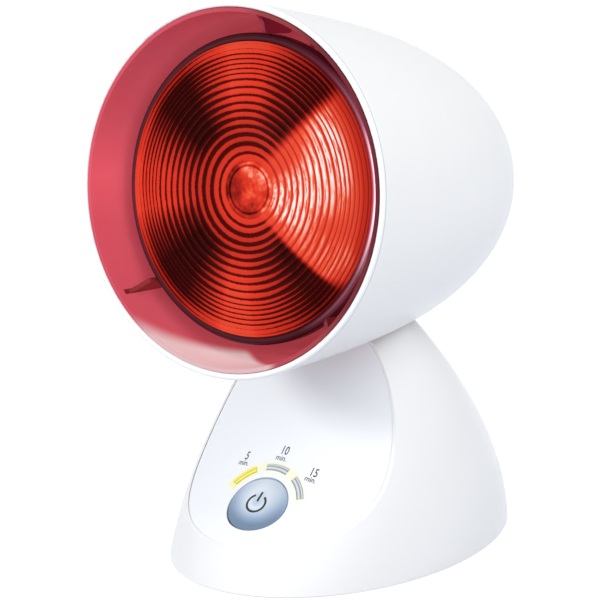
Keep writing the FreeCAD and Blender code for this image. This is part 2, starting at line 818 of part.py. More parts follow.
def panel_place(shape):
    """Place a piece drawn on the button's tangent plane (X across, Y up the slope, Z outward)."""
    placed = shape.copy()
    placed.rotate(Vector(0, 0, 0), X_AXIS, panel_slope)
    placed.translate(Vector(0, panel_y, panel_z))
    return placed


def columns(start):
    """The four screw columns inside the shell."""
    pieces = []
    for x, y in column_spots:
        pieces += both_sides(Part.makeCylinder(column_radius, EDGE, Vector(x, y, start), Z_AXIS))
    return pieces


def base_shell():
    """The white dome with its scooped front left open for the fascia."""
    outer = base_dome(0, shell_lift, neck_top)
    inner = base_dome(base_wall, 0, neck_top + 3)
    shell = outer.cut(inner)
    envelope = base_dome(base_wall / 2, shell_lift, neck_top)
    shelf = envelope.common(box(-EDGE, EDGE, -EDGE, EDGE, neck_deck - cap_plate - shelf_thickness,
                                 neck_deck - cap_plate))
    hole = Part.makeCylinder(shelf_hole, EDGE, Vector(0, belly_shift / 2, neck_top / 2), Z_AXIS)
    shell = shell.fuse(shelf.cut(hole))
    for column in columns(plate_thickness):
        shell = shell.fuse(column.common(envelope))
    shell = shell.removeSplitter().cut(scoop(0))
    behind = base_dome(fascia_skin, 0, neck_top + 2)
    shell = shell.cut(scoop(fascia_shift + seat_gap).common(behind))
    for x, y in column_spots:
        for hole in both_sides(Part.makeCylinder(screw_radius, plate_screw_length + 4, Vector(x, y, 0),
                                                 Z_AXIS)):
            shell = shell.cut(hole)
    for x, y in cap_screw_spots():
        foot = Vector(x, y, neck_deck - cap_plate - 2 * shelf_thickness)
        shell = shell.cut(Part.makeCylinder(screw_radius, EDGE, foot, Z_AXIS))
    gland = Part.makeCylinder(gland_radius + seat_gap / 2, EDGE,
                              Vector(0, foot_half_depth / 2, gland_z), Y_AXIS)
    return shell.cut(gland)


# --- control fascia ------------------------------------------------------------------------------
def light_angles():
    """Middle angles of the three light arcs, left to right."""
    return (90 + light_step, 90, 90 - light_step)


def light_arc(angle, gap, low, high):
    """A short curved bar concentric with the button, in the panel's frame."""
    half = math.radians(light_half_angle) + gap / light_radius
    middle = math.radians(angle)
    edges = []
    ends = []
    for radius in (light_radius - light_width / 2 - gap, light_radius + light_width / 2 + gap):
        spots = [Vector(radius * math.cos(middle + turn), radius * math.sin(middle + turn), low)
                 for turn in (-half, 0, half)]
        edges.append(Part.Arc(*spots).toShape())
        ends.append((spots[0], spots[2]))
    edges.append(Part.makeLine(ends[0][0], ends[1][0]))
    edges.append(Part.makeLine(ends[0][1], ends[1][1]))
    face = Part.Face(Part.Wire(Part.__sortEdges__(edges)))
    return face.extrude(Vector(0, 0, high - low))


def base_fascia():
    """The scooped control panel, with its mouths and the four posts of the board."""
    body = base_dome(fascia_skin + parting_gap, shell_lift, neck_top)
    rear = scoop(fascia_shift)
    front = scoop(0)
    fascia = body.common(rear).cut(front)
    inside = body.cut(scoop(1.0))
    for x, y in boss_spots:
        post = Part.makeCylinder(boss_radius, board_depth + 8, Vector(x, y, -board_depth), Z_AXIS)
        for piece in both_sides(post):
            fascia = fascia.fuse(panel_place(piece).common(inside))
    fascia = fascia.removeSplitter()
    mouth = Part.makeCylinder(button_radius + seat_gap, 2 * fascia_reach,
                              Vector(0, 0, -fascia_reach), Z_AXIS)
    fascia = fascia.cut(panel_place(mouth))
    for angle in light_angles():
        fascia = fascia.cut(panel_place(light_arc(angle, guide_gap, -fascia_reach, fascia_reach)))
    for x, y in boss_spots:
        hole = Part.makeCylinder(screw_radius, board_screw_depth + 1, Vector(x, y, -board_depth), Z_AXIS)
        for piece in both_sides(hole):
            fascia = fascia.cut(panel_place(piece))
    return fascia


def button():
    """The round push button: crowned cap, retaining flange and centre post."""
    edges = [arc((0, button_crown), (button_radius * 0.55, button_crown * 0.72),
                 (button_radius - 0.6, -0.1))]
    edges += polyline([(button_radius - 0.6, -0.1), (button_radius, -0.7),
                       (button_radius, -button_depth), (button_radius + button_flange, -button_depth),
                       (button_radius + button_flange, button_foot),
                       (button_post_radius, button_foot),
                       (button_post_radius, switch_top + button_travel + button_rest),
                       (0, switch_top + button_travel + button_rest), (0, button_crown)])
    cap = spin(edges)
    cap.rotate(Vector(0, 0, 0), X_AXIS, 90)
    return panel_place(cap)


def button_dome():
    """The silicone dome that lifts the button."""
    low = -board_depth
    edges = polyline([(dome_foot, low), (dome_foot, low + dome_foot_thickness),
                      (dome_skirt, low + dome_foot_thickness), (dome_top, button_foot),
                      (dome_top - dome_wall, button_foot), (dome_skirt - dome_wall, low),
                      (dome_foot, low)])
    dome = spin(edges)
    dome.rotate(Vector(0, 0, 0), X_AXIS, 90)
    return panel_place(dome)


def tact_switch():
    """The switch under the button's post."""
    body = box(-switch_half, switch_half, -switch_half, switch_half, -board_depth,
               -board_depth + switch_height)
    plunger = rod(plunger_radius, Vector(0, 0, -board_depth + switch_height), Vector(0, 0, switch_top))
    return panel_place(fuse_all([body, plunger]))


def control_board():
    """The circuit board behind the fascia."""
    board = box(-board_half_width, board_half_width, board_low, board_high,
                -board_depth - board_thickness, -board_depth)
    for x, y in boss_spots:
        hole = Part.makeCylinder(screw_radius, EDGE, Vector(x, y, -EDGE / 2), Z_AXIS)
        for piece in both_sides(hole):
            board = board.cut(piece)
    return panel_place(board)


def board_screws():
    """Four screws from behind the board into the fascia's posts."""
    screws = []
    for x, y in boss_spots:
        one = screw(Vector(x, y, -board_depth - board_thickness), Z_AXIS,
                    board_thickness + board_screw_depth)
        screws += both_sides(one)
    return [panel_place(one) for one in screws]


def light_guide(angle):
    """One clear bar, flush with the fascia, that carries its light to the front."""
    bar = light_arc(angle, 0, -board_depth + guide_foot, board_depth / 2)
    return panel_place(bar).cut(scoop(-0.1))


def board_leds():
    """Three light emitting diodes under the light guides."""
    leds = []
    for angle in light_angles():
        turn = math.radians(angle)
        x = light_radius * math.cos(turn)
        y = light_radius * math.sin(turn)
        leds.append(panel_place(box(x - led_size[0] / 2, x + led_size[0] / 2, y - led_size[1] / 2,
                                    y + led_size[1] / 2, -board_depth, -board_depth + led_size[2])))
    return leds


# --- neck ----------------------------------------------------------------------------------------
def cap_screw_spots():
    """Screws that hold the neck cap on the shell's shelf."""
    half_width, half_depth, centre = base_section(neck_top, 0)
    x = half_width - cap_screw_side
    return [(side * x, centre + half_depth - cap_screw_rear) for side in (-1, 1)]


def neck_cap():
    """The cap in the neck's mouth that carries the hinge barrel."""
    deck = neck_deck
    plate = base_dome(base_wall + seat_gap, shell_lift, neck_top).common(
        box(-EDGE, EDGE, -EDGE, EDGE, deck - cap_plate, deck))
    plate = plate.cut(scoop(fascia_shift + seat_gap))
    centre = Vector(0, pivot_y, pivot_z)
    pocket = detent_half_width + detent_pocket
    pieces = [plate]
    for side in (-1, 1):
        near, far = sorted((side * pocket, side * barrel_end))
        pieces.append(Part.makeCylinder(barrel_radius, far - near, Vector(near, pivot_y, pivot_z),
                                        X_AXIS))
        near, far = sorted((side * (pocket + 1.5), side * support_reach))
        pieces.append(box(near, far, pivot_y - support_half_depth, pivot_y + support_half_depth,
                          deck - cap_plate, pivot_z))
    cap = fuse_all(pieces)
    cap = cap.cut(ring(axle_radius + running_gap, 0, -EDGE, EDGE, X_AXIS, centre))
    for x, y in cap_screw_spots():
        cap = cap.cut(Part.makeCylinder(screw_radius, EDGE, Vector(x, y, 0), Z_AXIS))
    return cap


def cap_screws():
    """The neck cap's screws."""
    length = cap_plate + shelf_thickness + 0.4
    return [screw(Vector(x, y, neck_deck), -Z_AXIS, length) for x, y in cap_screw_spots()]


def friction_washers():
    """The two washers that brake the hinge, between barrel and ears."""
    centre = Vector(0, pivot_y, pivot_z)
    start = barrel_end + running_gap
    one = ring(barrel_radius, axle_radius + running_gap, start, start + washer_thickness, X_AXIS, centre)
    return both_sides(one)


# --- bottom --------------------------------------------------------------------------------------
def pad_spots():
    """Centres of the four anti-slip pads."""
    return [Vector(sx * pad_x, sy * pad_y, 0) for sx in (-1, 1) for sy in (-1, 1)]


def base_plate():
    """The bottom plate inside the shell's edge."""
    edge = oval(*base_section(plate_thickness, base_wall + seat_gap), 0)
    plate = Part.Face(Part.Wire(edge)).extrude(Vector(0, 0, plate_thickness))
    for spot in pad_spots():
        plate = plate.cut(Part.makeCylinder(pad_radius + 0.1, pad_thickness, spot, Z_AXIS))
    for x, y in column_spots:
        for side in (-1, 1):
            spot = Vector(side * x, y, 0)
            plate = plate.cut(Part.makeCylinder(screw_radius, EDGE, spot, Z_AXIS))
            plate = plate.cut(Part.makeCylinder(screw_head_radius + 0.2, plate_screw_sink, spot, Z_AXIS))
    for x, y in power_post_spots():
        post = Part.makeCylinder(post_radius, post_height, Vector(x, y, plate_thickness), Z_AXIS)
        plate = plate.fuse(post)
    plate = plate.removeSplitter()
    for x, y in power_post_spots():
        hole = Part.makeCylinder(screw_radius, EDGE, Vector(x, y, power_top - power_screw_length - 0.4),
                                 Z_AXIS)
        plate = plate.cut(hole)
    return plate


def pads():
    """Four rubber pads let into the bottom plate."""
    return [Part.makeCylinder(pad_radius, pad_thickness, spot, Z_AXIS) for spot in pad_spots()]


def plate_screws():
    """The bottom plate's four screws."""
    screws = []
    for x, y in column_spots:
        one = screw(Vector(x, y, plate_screw_sink), Z_AXIS, plate_screw_length)
        one = one.common(box(-EDGE, EDGE, -EDGE, EDGE, 0.2, EDGE))
        screws += both_sides(one)
    return screws


def power_post_spots():
    """The power board's posts on the bottom plate."""
    x = power_half_width - power_inset
    return [(side * x, y) for y in (power_front + power_inset, power_rear - power_inset)
            for side in (-1, 1)]


def power_board():
    """The mains board that switches the bulb."""
    board = box(-power_half_width, power_half_width, power_front, power_rear, power_level, power_top)
    for x, y in power_post_spots():
        board = board.cut(Part.makeCylinder(screw_radius, EDGE, Vector(x, y, 0), Z_AXIS))
    return board


def power_screws():
    """The power board's screws."""
    return [screw(Vector(x, y, power_top), -Z_AXIS, power_screw_length)
            for x, y in power_post_spots()]


def block_on_board(spot, size):
    """An upright block that stands on the power board, centred on spot."""
    width, depth, height = size
    return box(spot[0] - width / 2, spot[0] + width / 2, spot[1] - depth / 2, spot[1] + depth / 2,
               power_top, power_top + height)


def relay():
    """The relay that switches the bulb."""
    return block_on_board(relay_spot, relay_size)


def capacitor():
    """The film capacitor of the board's supply."""
    body = block_on_board(capacitor_spot, capacitor_size)
    upper = [edge for edge in body.Edges if edge.CenterOfMass.z > power_top + 1]
    return body.makeFillet(capacitor_fillet, upper)


def buzzer():
    """The sounder that ends a treatment."""
    foot = Vector(buzzer_spot[0], buzzer_spot[1], power_top)
    body = Part.makeCylinder(buzzer_radius, buzzer_height, foot, Z_AXIS)
    mouth = Part.makeCylinder(buzzer_radius / 5, EDGE, foot + Z_AXIS * buzzer_floor, Z_AXIS)
    return body.cut(mouth)


def terminal_block():
    """The screw terminals for the mains leads."""
    block = block_on_board(terminal_spot, terminal_size)
    rear = terminal_spot[1] + terminal_size[1] / 2
    for i in (-1, 0, 1):
        x = terminal_spot[0] + terminal_pitch * i
        well = Vector(x, terminal_spot[1] - 1, power_top + terminal_size[2] - 4)
        block = block.cut(Part.makeCylinder(2.0, 5.0, well, Z_AXIS))
        block = block.cut(box(x - 1.8, x + 1.8, rear - 3, rear + 1, power_top + 2, power_top + 5.6))
    return block


def cable_gland():
    """The mains inlet bush in the rear wall, with its collar and lock ring against the wall."""
    half_depth, centre_y = base_section(gland_z, 0)[1:]
    wall_y = half_depth + centre_y
    centre = Vector(0, 0, gland_z)
    flange = gland_radius + gland_collar
    body = ring(gland_radius, gland_bore, wall_y - gland_front, wall_y + gland_proud, Y_AXIS, centre)
    rings = ring(flange, gland_bore, wall_y - gland_front + 2, wall_y + gland_proud, Y_AXIS, centre)
    rings = rings.cut(ring(flange, gland_bore, wall_y - gland_front + 2 + gland_ring,
                           wall_y - base_wall, Y_AXIS, centre))
    wall = base_dome(-seat_gap, 0, 3 * gland_z).cut(base_dome(base_wall + seat_gap, 0, 3 * gland_z))
    return fuse_all([body, rings.cut(wall)])


# --- build ---------------------------------------------------------------------------------------
def lamp_pieces():
    """Every node's shape, in the lamp's frame."""
    ear = hinge_ear()
    ears = both_sides(ear)
    guides = [light_guide(angle) for angle in light_angles()]
    head = {
        "head_shell": head_shell(),
        "shade_liner": shade_liner(),
        "bulb_lens": bulb_lens(),
        "bulb_reflector": bulb_reflector(),
        "bulb_cap": bulb_cap(),
        "bulb_insulator": bulb_insulator(),
        "bulb_contact": bulb_contact(),
        "bulb_stem": bulb_stem(),
        "bulb_filament": filament_wires(),
        "lamp_holder": lamp_holder(),
        "holder_thread": Part.makeCompound(holder_thread()),
        "holder_bracket": holder_bracket(),
        "bracket_screws": Part.makeCompound(bracket_screws()),
        "hinge_ear_right": ears[0],
        "hinge_ear_left": ears[1],
        "ear_screws": Part.makeCompound(ear_screws()),
        "hinge_axle": hinge_axle(),
        "axle_clip": axle_clip(),
    }
    pieces = {name: head_to_lamp(shape) for name, shape in head.items()}
    pieces.update({
        "detent_cam": detent_cam(),
        "base_shell": base_shell(),
        "base_fascia": base_fascia(),
        "neck_cap": neck_cap(),
        "cap_screws": Part.makeCompound(cap_screws()),
        "friction_washers": Part.makeCompound(friction_washers()),
        "detent_spring": detent_spring(),
        "power_button": button(),
        "button_dome": button_dome(),
        "tact_switch": tact_switch(),
        "control_board": control_board(),
        "board_screws": Part.makeCompound(board_screws()),
        "board_leds": Part.makeCompound(board_leds()),
        "light_guide_5": guides[0],
        "light_guide_10": guides[1],
        "light_guide_15": guides[2],
        "base_plate": base_plate(),
        "grip_pads": Part.makeCompound(pads()),
        "plate_screws": Part.makeCompound(plate_screws()),
        "power_board": power_board(),
        "power_screws": Part.makeCompound(power_screws()),
        "relay": relay(),
        "capacitor": capacitor(),
        "buzzer": buzzer(),
        "terminal_block": terminal_block(),
        "cable_gland": cable_gland(),
    })
    return pieces


os.makedirs("parts", exist_ok=True)
for name, shape in lamp_pieces().items():
    state = "ok" if shape.isValid() else "INVALID"
    print(f"{name:18s} {state} solids {len(shape.Solids)} volume {shape.Volume:10.1f}")
    shape.exportStep(f"parts/{name}.step")
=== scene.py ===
# %% [markdown]
# # An infrared heat lamp, dressed for the camera
# The construction of the lamp arrives as a fixed frame of named solids.  This lesson gives each
# solid the finish that the real piece has, and adds what a designer's solid leaves out: the
# pressed rings of the red glass, the printing on the control panel and the fine step behind the
# lip.  Whatever the start-up scene holds is cleared first, so that only the lamp is left.

import bpy
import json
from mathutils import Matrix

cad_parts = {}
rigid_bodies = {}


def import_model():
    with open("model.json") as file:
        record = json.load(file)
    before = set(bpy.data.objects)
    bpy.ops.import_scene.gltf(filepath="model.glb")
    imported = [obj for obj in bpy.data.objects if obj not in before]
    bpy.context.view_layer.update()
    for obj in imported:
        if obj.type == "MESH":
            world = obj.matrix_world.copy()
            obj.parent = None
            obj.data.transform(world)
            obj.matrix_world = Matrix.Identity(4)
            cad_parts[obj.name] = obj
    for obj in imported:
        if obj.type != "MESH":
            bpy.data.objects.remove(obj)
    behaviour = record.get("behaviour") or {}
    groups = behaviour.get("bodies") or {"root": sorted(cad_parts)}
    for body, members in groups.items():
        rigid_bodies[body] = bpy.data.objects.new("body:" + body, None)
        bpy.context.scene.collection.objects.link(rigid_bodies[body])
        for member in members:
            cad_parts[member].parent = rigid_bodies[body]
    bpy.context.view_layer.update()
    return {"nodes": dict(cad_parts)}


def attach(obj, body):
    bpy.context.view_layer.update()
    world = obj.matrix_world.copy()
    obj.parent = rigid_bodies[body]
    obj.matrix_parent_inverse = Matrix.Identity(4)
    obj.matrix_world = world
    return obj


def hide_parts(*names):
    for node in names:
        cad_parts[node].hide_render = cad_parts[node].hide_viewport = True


for leftover in list(bpy.data.objects):
    bpy.data.objects.remove(leftover)
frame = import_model()

# %% [markdown]
# ## Tools
# Meshes are shaped with bmesh, places are worked out with vectors and matrices, and a search
# tree finds where a line meets a surface.  Sizes are written in millimetres and scaled once.

# %% Tools of the lesson
import json
import math

import bmesh
from mathutils import Matrix, Vector
from mathutils.bvhtree import BVHTree

MM = 0.001
nodes = frame["nodes"]
scene = bpy.context.scene
print("solids to dress:", len(nodes))

# %% [markdown]
# ## Two frames
# Everything is in metres with Z up and the lamp facing -Y.  The head is easier to describe along
# the bulb: in the head's frame +Y runs from the lip backwards, and the bulb's axis is X = Z = 0.
# The control panel is described on the plane that touches it at the button.

# %% The head's frame and the panel's frame
HEAD_TILT = math.radians(10.2)
LIP_CENTRE = Vector((0, -73.35, 161.99)) * MM
PANEL_SLOPE = math.radians(38.5)
PANEL_CENTRE = Vector((0, -56.2, 28.4)) * MM

head_frame = Matrix.Translation(LIP_CENTRE) @ Matrix.Rotation(-HEAD_TILT, 4, "X")
panel_frame = Matrix.Translation(PANEL_CENTRE) @ Matrix.Rotation(PANEL_SLOPE, 4, "X")
print("bulb's axis:", [round(c, 3) for c in head_frame.to_3x3() @ Vector((0, 1, 0))])

# %% [markdown]
# ## Camera
# The view is from the front right and a little above, with a long lens, so that the round lip
# turns into a slightly narrow oval.  The camera could be turned by hand until it looks right;
# two angles, a distance and a focal length can be repeated exactly.

# %% Camera
CAMERA_TURN = math.radians(37.218)
CAMERA_RISE = math.radians(17.046)
CAMERA_AIM = Vector((146.721, -221.0345, 181.109)) * MM
CAMERA_DISTANCE = 1.5
FOCAL_PIXELS = 4402.03
FRAME_PIXELS = 600
SENSOR_MM = 36

right = Vector((math.cos(CAMERA_TURN), math.sin(CAMERA_TURN), 0))
back = Vector((math.sin(CAMERA_TURN) * math.cos(CAMERA_RISE),
               -math.cos(CAMERA_TURN) * math.cos(CAMERA_RISE), math.sin(CAMERA_RISE)))
up = back.cross(right)
camera_data = bpy.data.cameras.new("camera")
camera_data.sensor_width = SENSOR_MM
camera_data.lens = FOCAL_PIXELS / FRAME_PIXELS * SENSOR_MM
camera = bpy.data.objects.new("camera", camera_data)
camera.matrix_world = Matrix.Translation(CAMERA_AIM + CAMERA_DISTANCE * back) @ Matrix(
    (right, up, back)).transposed().to_4x4()
scene.collection.objects.link(camera)
scene.camera = camera
print("camera at, mm:", [round(1000 * c) for c in camera.location])

# %% [markdown]
# ## Colours and nodes
# Colours are written as the hex values that a paint program shows, and one function turns them
# into the linear values that the renderer works with.  One small function adds a node of any
# kind: its inputs come in order or by name, and a node may be handed on in place of its output.
# A Mix node has a set of inputs for each kind of value, so its colours need their numbers.


# %% Colour and node helpers
BY, FROM, TO = 0, 6, 7      # a Mix node's factor and its two colours


def colour(text, alpha=1.0):
    """A linear colour from #RRGGBB."""
    parts = [int(text[i:i + 2], 16) / 255 for i in (1, 3, 5)]
    return tuple(c / 12.92 if c <= 0.04045 else ((c + 0.055) / 1.055) ** 2.4
                 for c in parts) + (alpha,)


def feed(node, inputs):
    """Fill a node's inputs, by name or in order, with values, hex colours, sockets or nodes."""
    for name, value in inputs.items() if isinstance(inputs, dict) else enumerate(inputs):
        if isinstance(value, bpy.types.Node):
            value = next(output for output in value.outputs if output.enabled)
        if isinstance(value, bpy.types.NodeSocket):
            node.id_data.links.new(value, node.inputs[name])
        else:
            node.inputs[name].default_value = colour(value) if isinstance(value, str) else value


def add(tree, kind, inputs=(), stops=(), **settings):
    """Add one node with its settings and links; a ramp's stops are (place, hex or number)."""
    node = tree.nodes.new("ShaderNode" + kind)
    for name, value in settings.items():
        setattr(node, name, value)
    feed(node, inputs)
    if stops:
        elements = node.color_ramp.elements
        while len(elements) < len(stops):
            elements.new(0.5)
        for element, (place, _) in zip(elements, stops):
            element.position = place
        for element, (_, shade) in zip(elements, stops):
            element.color = colour(shade) if isinstance(shade, str) else (shade, shade, shade, 1.0)
    return node


print("dark grey in linear light:", [round(c, 3) for c in colour("#404040")])

# %% [markdown]
# ## A finish and its grain
# No real surface is one flat colour.  A finish starts from the shader's constant sockets, then
# gets a bump whose grains have a real size, a little spread in its gloss, and a slow drift
# between two near colours.  Noise is used because mouldings, castings and glazes are irregular.


# %% Finish helpers
GLOSS_PATCH = 8             # grains across a patch of even gloss


def new_finish(name, base, roughness, **sockets):
    """A material with its constant sockets set; gives the material, its tree and its shader."""
    material = bpy.data.materials.new(name)
    material.use_nodes = True
    shader = material.node_tree.nodes["Principled BSDF"]
    feed(shader, {"Base Color": base, "Roughness": roughness})
    feed(shader, {socket.replace("_", " "): value for socket, value in sockets.items()})
    return material, material.node_tree, shader


def grain(tree, shader, size_mm, height_mm, roughness=None):
    """Grain of a real size and height, and a wider spread of the roughness; gives the place."""
    place = add(tree, "TexCoord").outputs["Object"]
    noise = add(tree, "TexNoise", {"Vector": place, "Scale": 1 / (size_mm * MM), "Detail": 2.0})
    feed(shader, {"Normal": add(tree, "Bump", {"Height": noise, "Distance": height_mm * MM})})
    if roughness:
        wide = add(tree, "TexNoise", {"Vector": place, "Scale": 1 / (GLOSS_PATCH * size_mm * MM)})
        feed(shader, {"Roughness": add(tree, "MapRange", {
            "Value": wide, "To Min": roughness[0], "To Max": roughness[1]})})
    return place


def tint(tree, shader, place, size_mm, first, second):
    """Slow drift between two near colours; gives the node that mixes them."""
    noise = add(tree, "TexNoise", {"Vector": place, "Scale": 1 / (size_mm * MM), "Detail": 3.0})
    paint = add(tree, "Mix", {BY: noise, FROM: first, TO: second}, data_type="RGBA")
    feed(shader, {"Base Color": paint})
    return paint


print("noise scale of a grain 0.5 mm wide:", 1 / (0.5 * MM))

# %% [markdown]
# ## White ABS
# The housings are moulded in polished steel tools, so they are glossy, but their gloss is never
# a mirror's: the wall shrinks a little as it cools and leaves a shallow waviness some
# centimetres wide.  One function makes all three whites, because they differ only in shade.

# %% White mouldings
WAVE_SIZE = 18.0
WAVE_HEIGHT = 0.02
SHADE_DRIFT = 60.0


def white_abs(name, first, second, roughness):
    """Polished white ABS with faint waviness; gives material, tree, shader and its paint."""
    material, tree, shader = new_finish(name, first, roughness[0], IOR=1.54,
                                        Specular_IOR_Level=0.5)
    place = grain(tree, shader, WAVE_SIZE, WAVE_HEIGHT, roughness)
    return material, tree, shader, tint(tree, shader, place, SHADE_DRIFT, first, second)


# moulded ABS, polished: soft broad highlights, and an edge that never looks sharp
base_white = white_abs("polished_white_abs_base", "#F0F0EF", "#F4F4F3", (0.22, 0.3))[0]
print("first finish:", base_white.name)

# %% [markdown]
# ## Places on the head
# Patterns on the head are easiest to say as a distance from the bulb's axis, an angle around it
# and a depth behind the lip.  Object coordinates are moved and turned into that frame with three
# nodes.  A UV map could do it too, but a solid that comes from the designer has none.  These
# places are in millimetres, so there a noise's scale is one over its size.

# %% Places around an axis
SOFT = {"interpolation_type": "SMOOTHSTEP"}


def level_place(tree, centre, tilt):
    """Object coordinates moved to a centre, turned level, and in millimetres."""
    place = add(tree, "TexCoord").outputs["Object"]
    moved = add(tree, "VectorMath", (place, -centre), operation="ADD")
    level = add(tree, "VectorRotate", {"Vector": moved, "Angle": tilt}, rotation_type="X_AXIS")
    return add(tree, "VectorMath", {"Vector": level, "Scale": 1 / MM}, operation="SCALE")


def polar(tree, place, up_axis=2):
    """Distance from the axis, degrees around it (0 is +X, 90 is up), and the three parts."""
    parts = add(tree, "SeparateXYZ", (place,)).outputs
    flat = add(tree, "CombineXYZ", (parts[0], parts[up_axis]))
    radius = add(tree, "VectorMath", (flat,), operation="LENGTH")
    angle = add(tree, "Math", (parts[up_axis], parts[0]), operation="ARCTAN2")
    angle = add(tree, "Math", (angle, 180 / math.pi), operation="MULTIPLY")
    return radius, add(tree, "Math", (angle, 360), operation="FLOORED_MODULO"), parts


def around(tree, degrees, stops):
    """A number that follows the turn; each stop is (degrees, number)."""
    share = add(tree, "Math", (degrees, 360), operation="DIVIDE")
    return add(tree, "ValToRGB", (share,), stops=[(place / 360, value) for place, value in stops])


def between(tree, factor, first, second):
    """A number that moves from the first to the second."""
    gap = add(tree, "Math", (second, first), operation="SUBTRACT")
    return add(tree, "Math", (factor, gap, first), operation="MULTIPLY_ADD")


def apart(tree, first, second):
    """How far two numbers are apart."""
    gap = add(tree, "Math", (first, second), operation="SUBTRACT")
    return add(tree, "Math", (gap,), operation="ABSOLUTE")


print("button in the head's frame, mm:",
      [round(c / MM, 1) for c in head_frame.inverted() @ PANEL_CENTRE])

# %% [markdown]
# ## The fine step behind the lip
# The lip ends in a shallow step that the eye reads as a thin cool line around the mouth.  It is
# finer than a solid's edge needs to be, so its shadow is painted into the head's own white, at its
# depth.

# %% Fine step behind the lip
STEP_DEPTH = 1.7
STEP_WIDTH = 0.45

# moulded ABS, polished, as on the base; the line is the shadow that the step holds
head_white, tree, shader, paint = white_abs("polished_white_abs", "#F4F4F2", "#F8F8F6", (0.22, 0.3))
depth = polar(tree, level_place(tree, LIP_CENTRE, HEAD_TILT))[2][1]
off_step = apart(tree, depth, STEP_DEPTH)
line = add(tree, "MapRange", (off_step, STEP_WIDTH, STEP_WIDTH / 2, 0.0, 0.85), **SOFT)
shadowed = add(tree, "Mix", {BY: line, FROM: paint, TO: "#BFCCD8"}, data_type="RGBA")
feed(shader, {"Base Color": shadowed})
print("step at", STEP_DEPTH, "mm, nodes:", len(tree.nodes))

# %% [markdown]
# ## Rings of the lens
# The front glass is pressed with rings that spread the light.  They get finer towards the rim.
# The mesh and its finish have to agree, so the count of rings up to a radius is worked out once
# in Python for the mesh and once in nodes for the colour, from the same three pitches.

# %% Ring count
RING_PITCHES = ((0.0, 22.0, 3.6), (22.0, 44.0, 3.05), (44.0, 60.0, 1.9))     # from, to, pitch


def ring_count(r):
    """Rings between the axis and a radius."""
    return sum(min(max(r - start, 0.0), end - start) / pitch for start, end, pitch in RING_PITCHES)


def ring_phase(tree, radius):
    """The same count in nodes: the ring's number, and the height on it from foot to back."""
    total = 0.0
    for start, end, pitch in RING_PITCHES:
        span = add(tree, "MapRange", (radius, start, end, 0.0, (end - start) / pitch))
        total = add(tree, "Math", (span, total), operation="ADD")
    phase = add(tree, "Math", (add(tree, "Math", (total,), operation="FRACT"), 2.0, -1.0),
                operation="MULTIPLY_ADD")
    off_back = add(tree, "Math", (phase,), operation="ABSOLUTE")
    return (add(tree, "Math", (total,), operation="FLOOR"),
            add(tree, "Math", (1.0, off_back), operation="SUBTRACT"))


print("rings to the rim:", round(ring_count(RING_PITCHES[-1][1]), 1))

# %% [markdown]
# ## Ruby glass
# The bulb's glass is coloured right through, and a mirror behind it throws the light forwards.
# A clear glass in front of a real mirror would need many bounces of light and still be noisy.
# The picture that lens and mirror make together is drawn instead, in the head's frame: bright
# towards the four quarters, almost black between them, with wavy rings.

# %% Lens finish: places and rings
WOBBLE_SIZE = 20.0
PRESS_GRAIN = 0.909         # mm

# pressed ruby glass: deep saturated red, gloss only as a red sheen, and a painted glow from within
lens_red, tree, shader = new_finish("pressed_ruby_glass", "#CC3423", 0.16, IOR=1.5,
                                    Specular_IOR_Level=0.05, Specular_Tint="#FF7050",
                                    Emission_Strength=0.12)
place = level_place(tree, LIP_CENTRE, HEAD_TILT)
radius, degrees, (across, _, upward) = polar(tree, place)
wobble = add(tree, "TexNoise", {"Vector": place, "Scale": 1 / WOBBLE_SIZE, "Detail": 1.0})
wobble = add(tree, "Math", (wobble, 0.8, -0.4), operation="MULTIPLY_ADD")
ring, back_of_ring = ring_phase(tree, add(tree, "Math", (radius, wobble), operation="ADD"))
fine = add(tree, "TexNoise", {"Vector": place, "Scale": 1 / PRESS_GRAIN, "Detail": 3.0,
                              "Roughness": 0.6})
print("lens nodes so far:", len(tree.nodes))

# %% [markdown]
# How much light comes through follows the angle: the four leaves of the filament's image, even
# in the middle of the lens and softer at the rim, where daylight fills the dark gaps.  Radii are
# in millimetres, angles in degrees, and the light runs from 0 to about 1.

# %% Lens finish: light behind the glass
light = around(tree, degrees, (
    (0, 0.3), (50, 0.3), (55, 0.16), (63, 0.2), (76, 0.36), (88, 0.58), (108, 0.62), (121, 0.4),
    (134, 0.07), (150, 0.07), (165, 0.4), (179, 0.57), (198, 0.59), (210, 0.3), (224, 0.06),
    (240, 0.08), (254, 0.4), (264, 0.62), (278, 0.62), (300, 0.38), (315, 0.1), (330, 0.12),
    (345, 0.3), (360, 0.3)))
outward = add(tree, "MapRange", (radius, 24.0, 40.0, 0.8, 1.04), **SOFT)
light = add(tree, "Math", (light, outward), operation="MULTIPLY")
fill = add(tree, "Math", (light, -0.35, 0.26), operation="MULTIPLY_ADD")
leftward = add(tree, "MapRange", (across, 20.0, -10.0), **SOFT)
fill = add(tree, "Math", (fill, leftward), operation="MULTIPLY")
at_rim = add(tree, "MapRange", (radius, 52.5, 55.0), **SOFT)
light = add(tree, "Math", (at_rim, fill, light), operation="MULTIPLY_ADD")
light = between(tree, add(tree, "MapRange", (radius, 28.0, 21.0), **SOFT), light, 0.44)
light = between(tree, add(tree, "MapRange", (radius, 18.0, 14.0), **SOFT), light, 0.6)
print("lens nodes so far:", len(tree.nodes))

# %% [markdown]
# A ring is bright on its back, where it passes on the mirror's light, and dark at its foot.  The
# less light there is, the wider the dark foot grows, until the rings flow together.  So the one
# number for the light gives the quarters and the width of the lines.

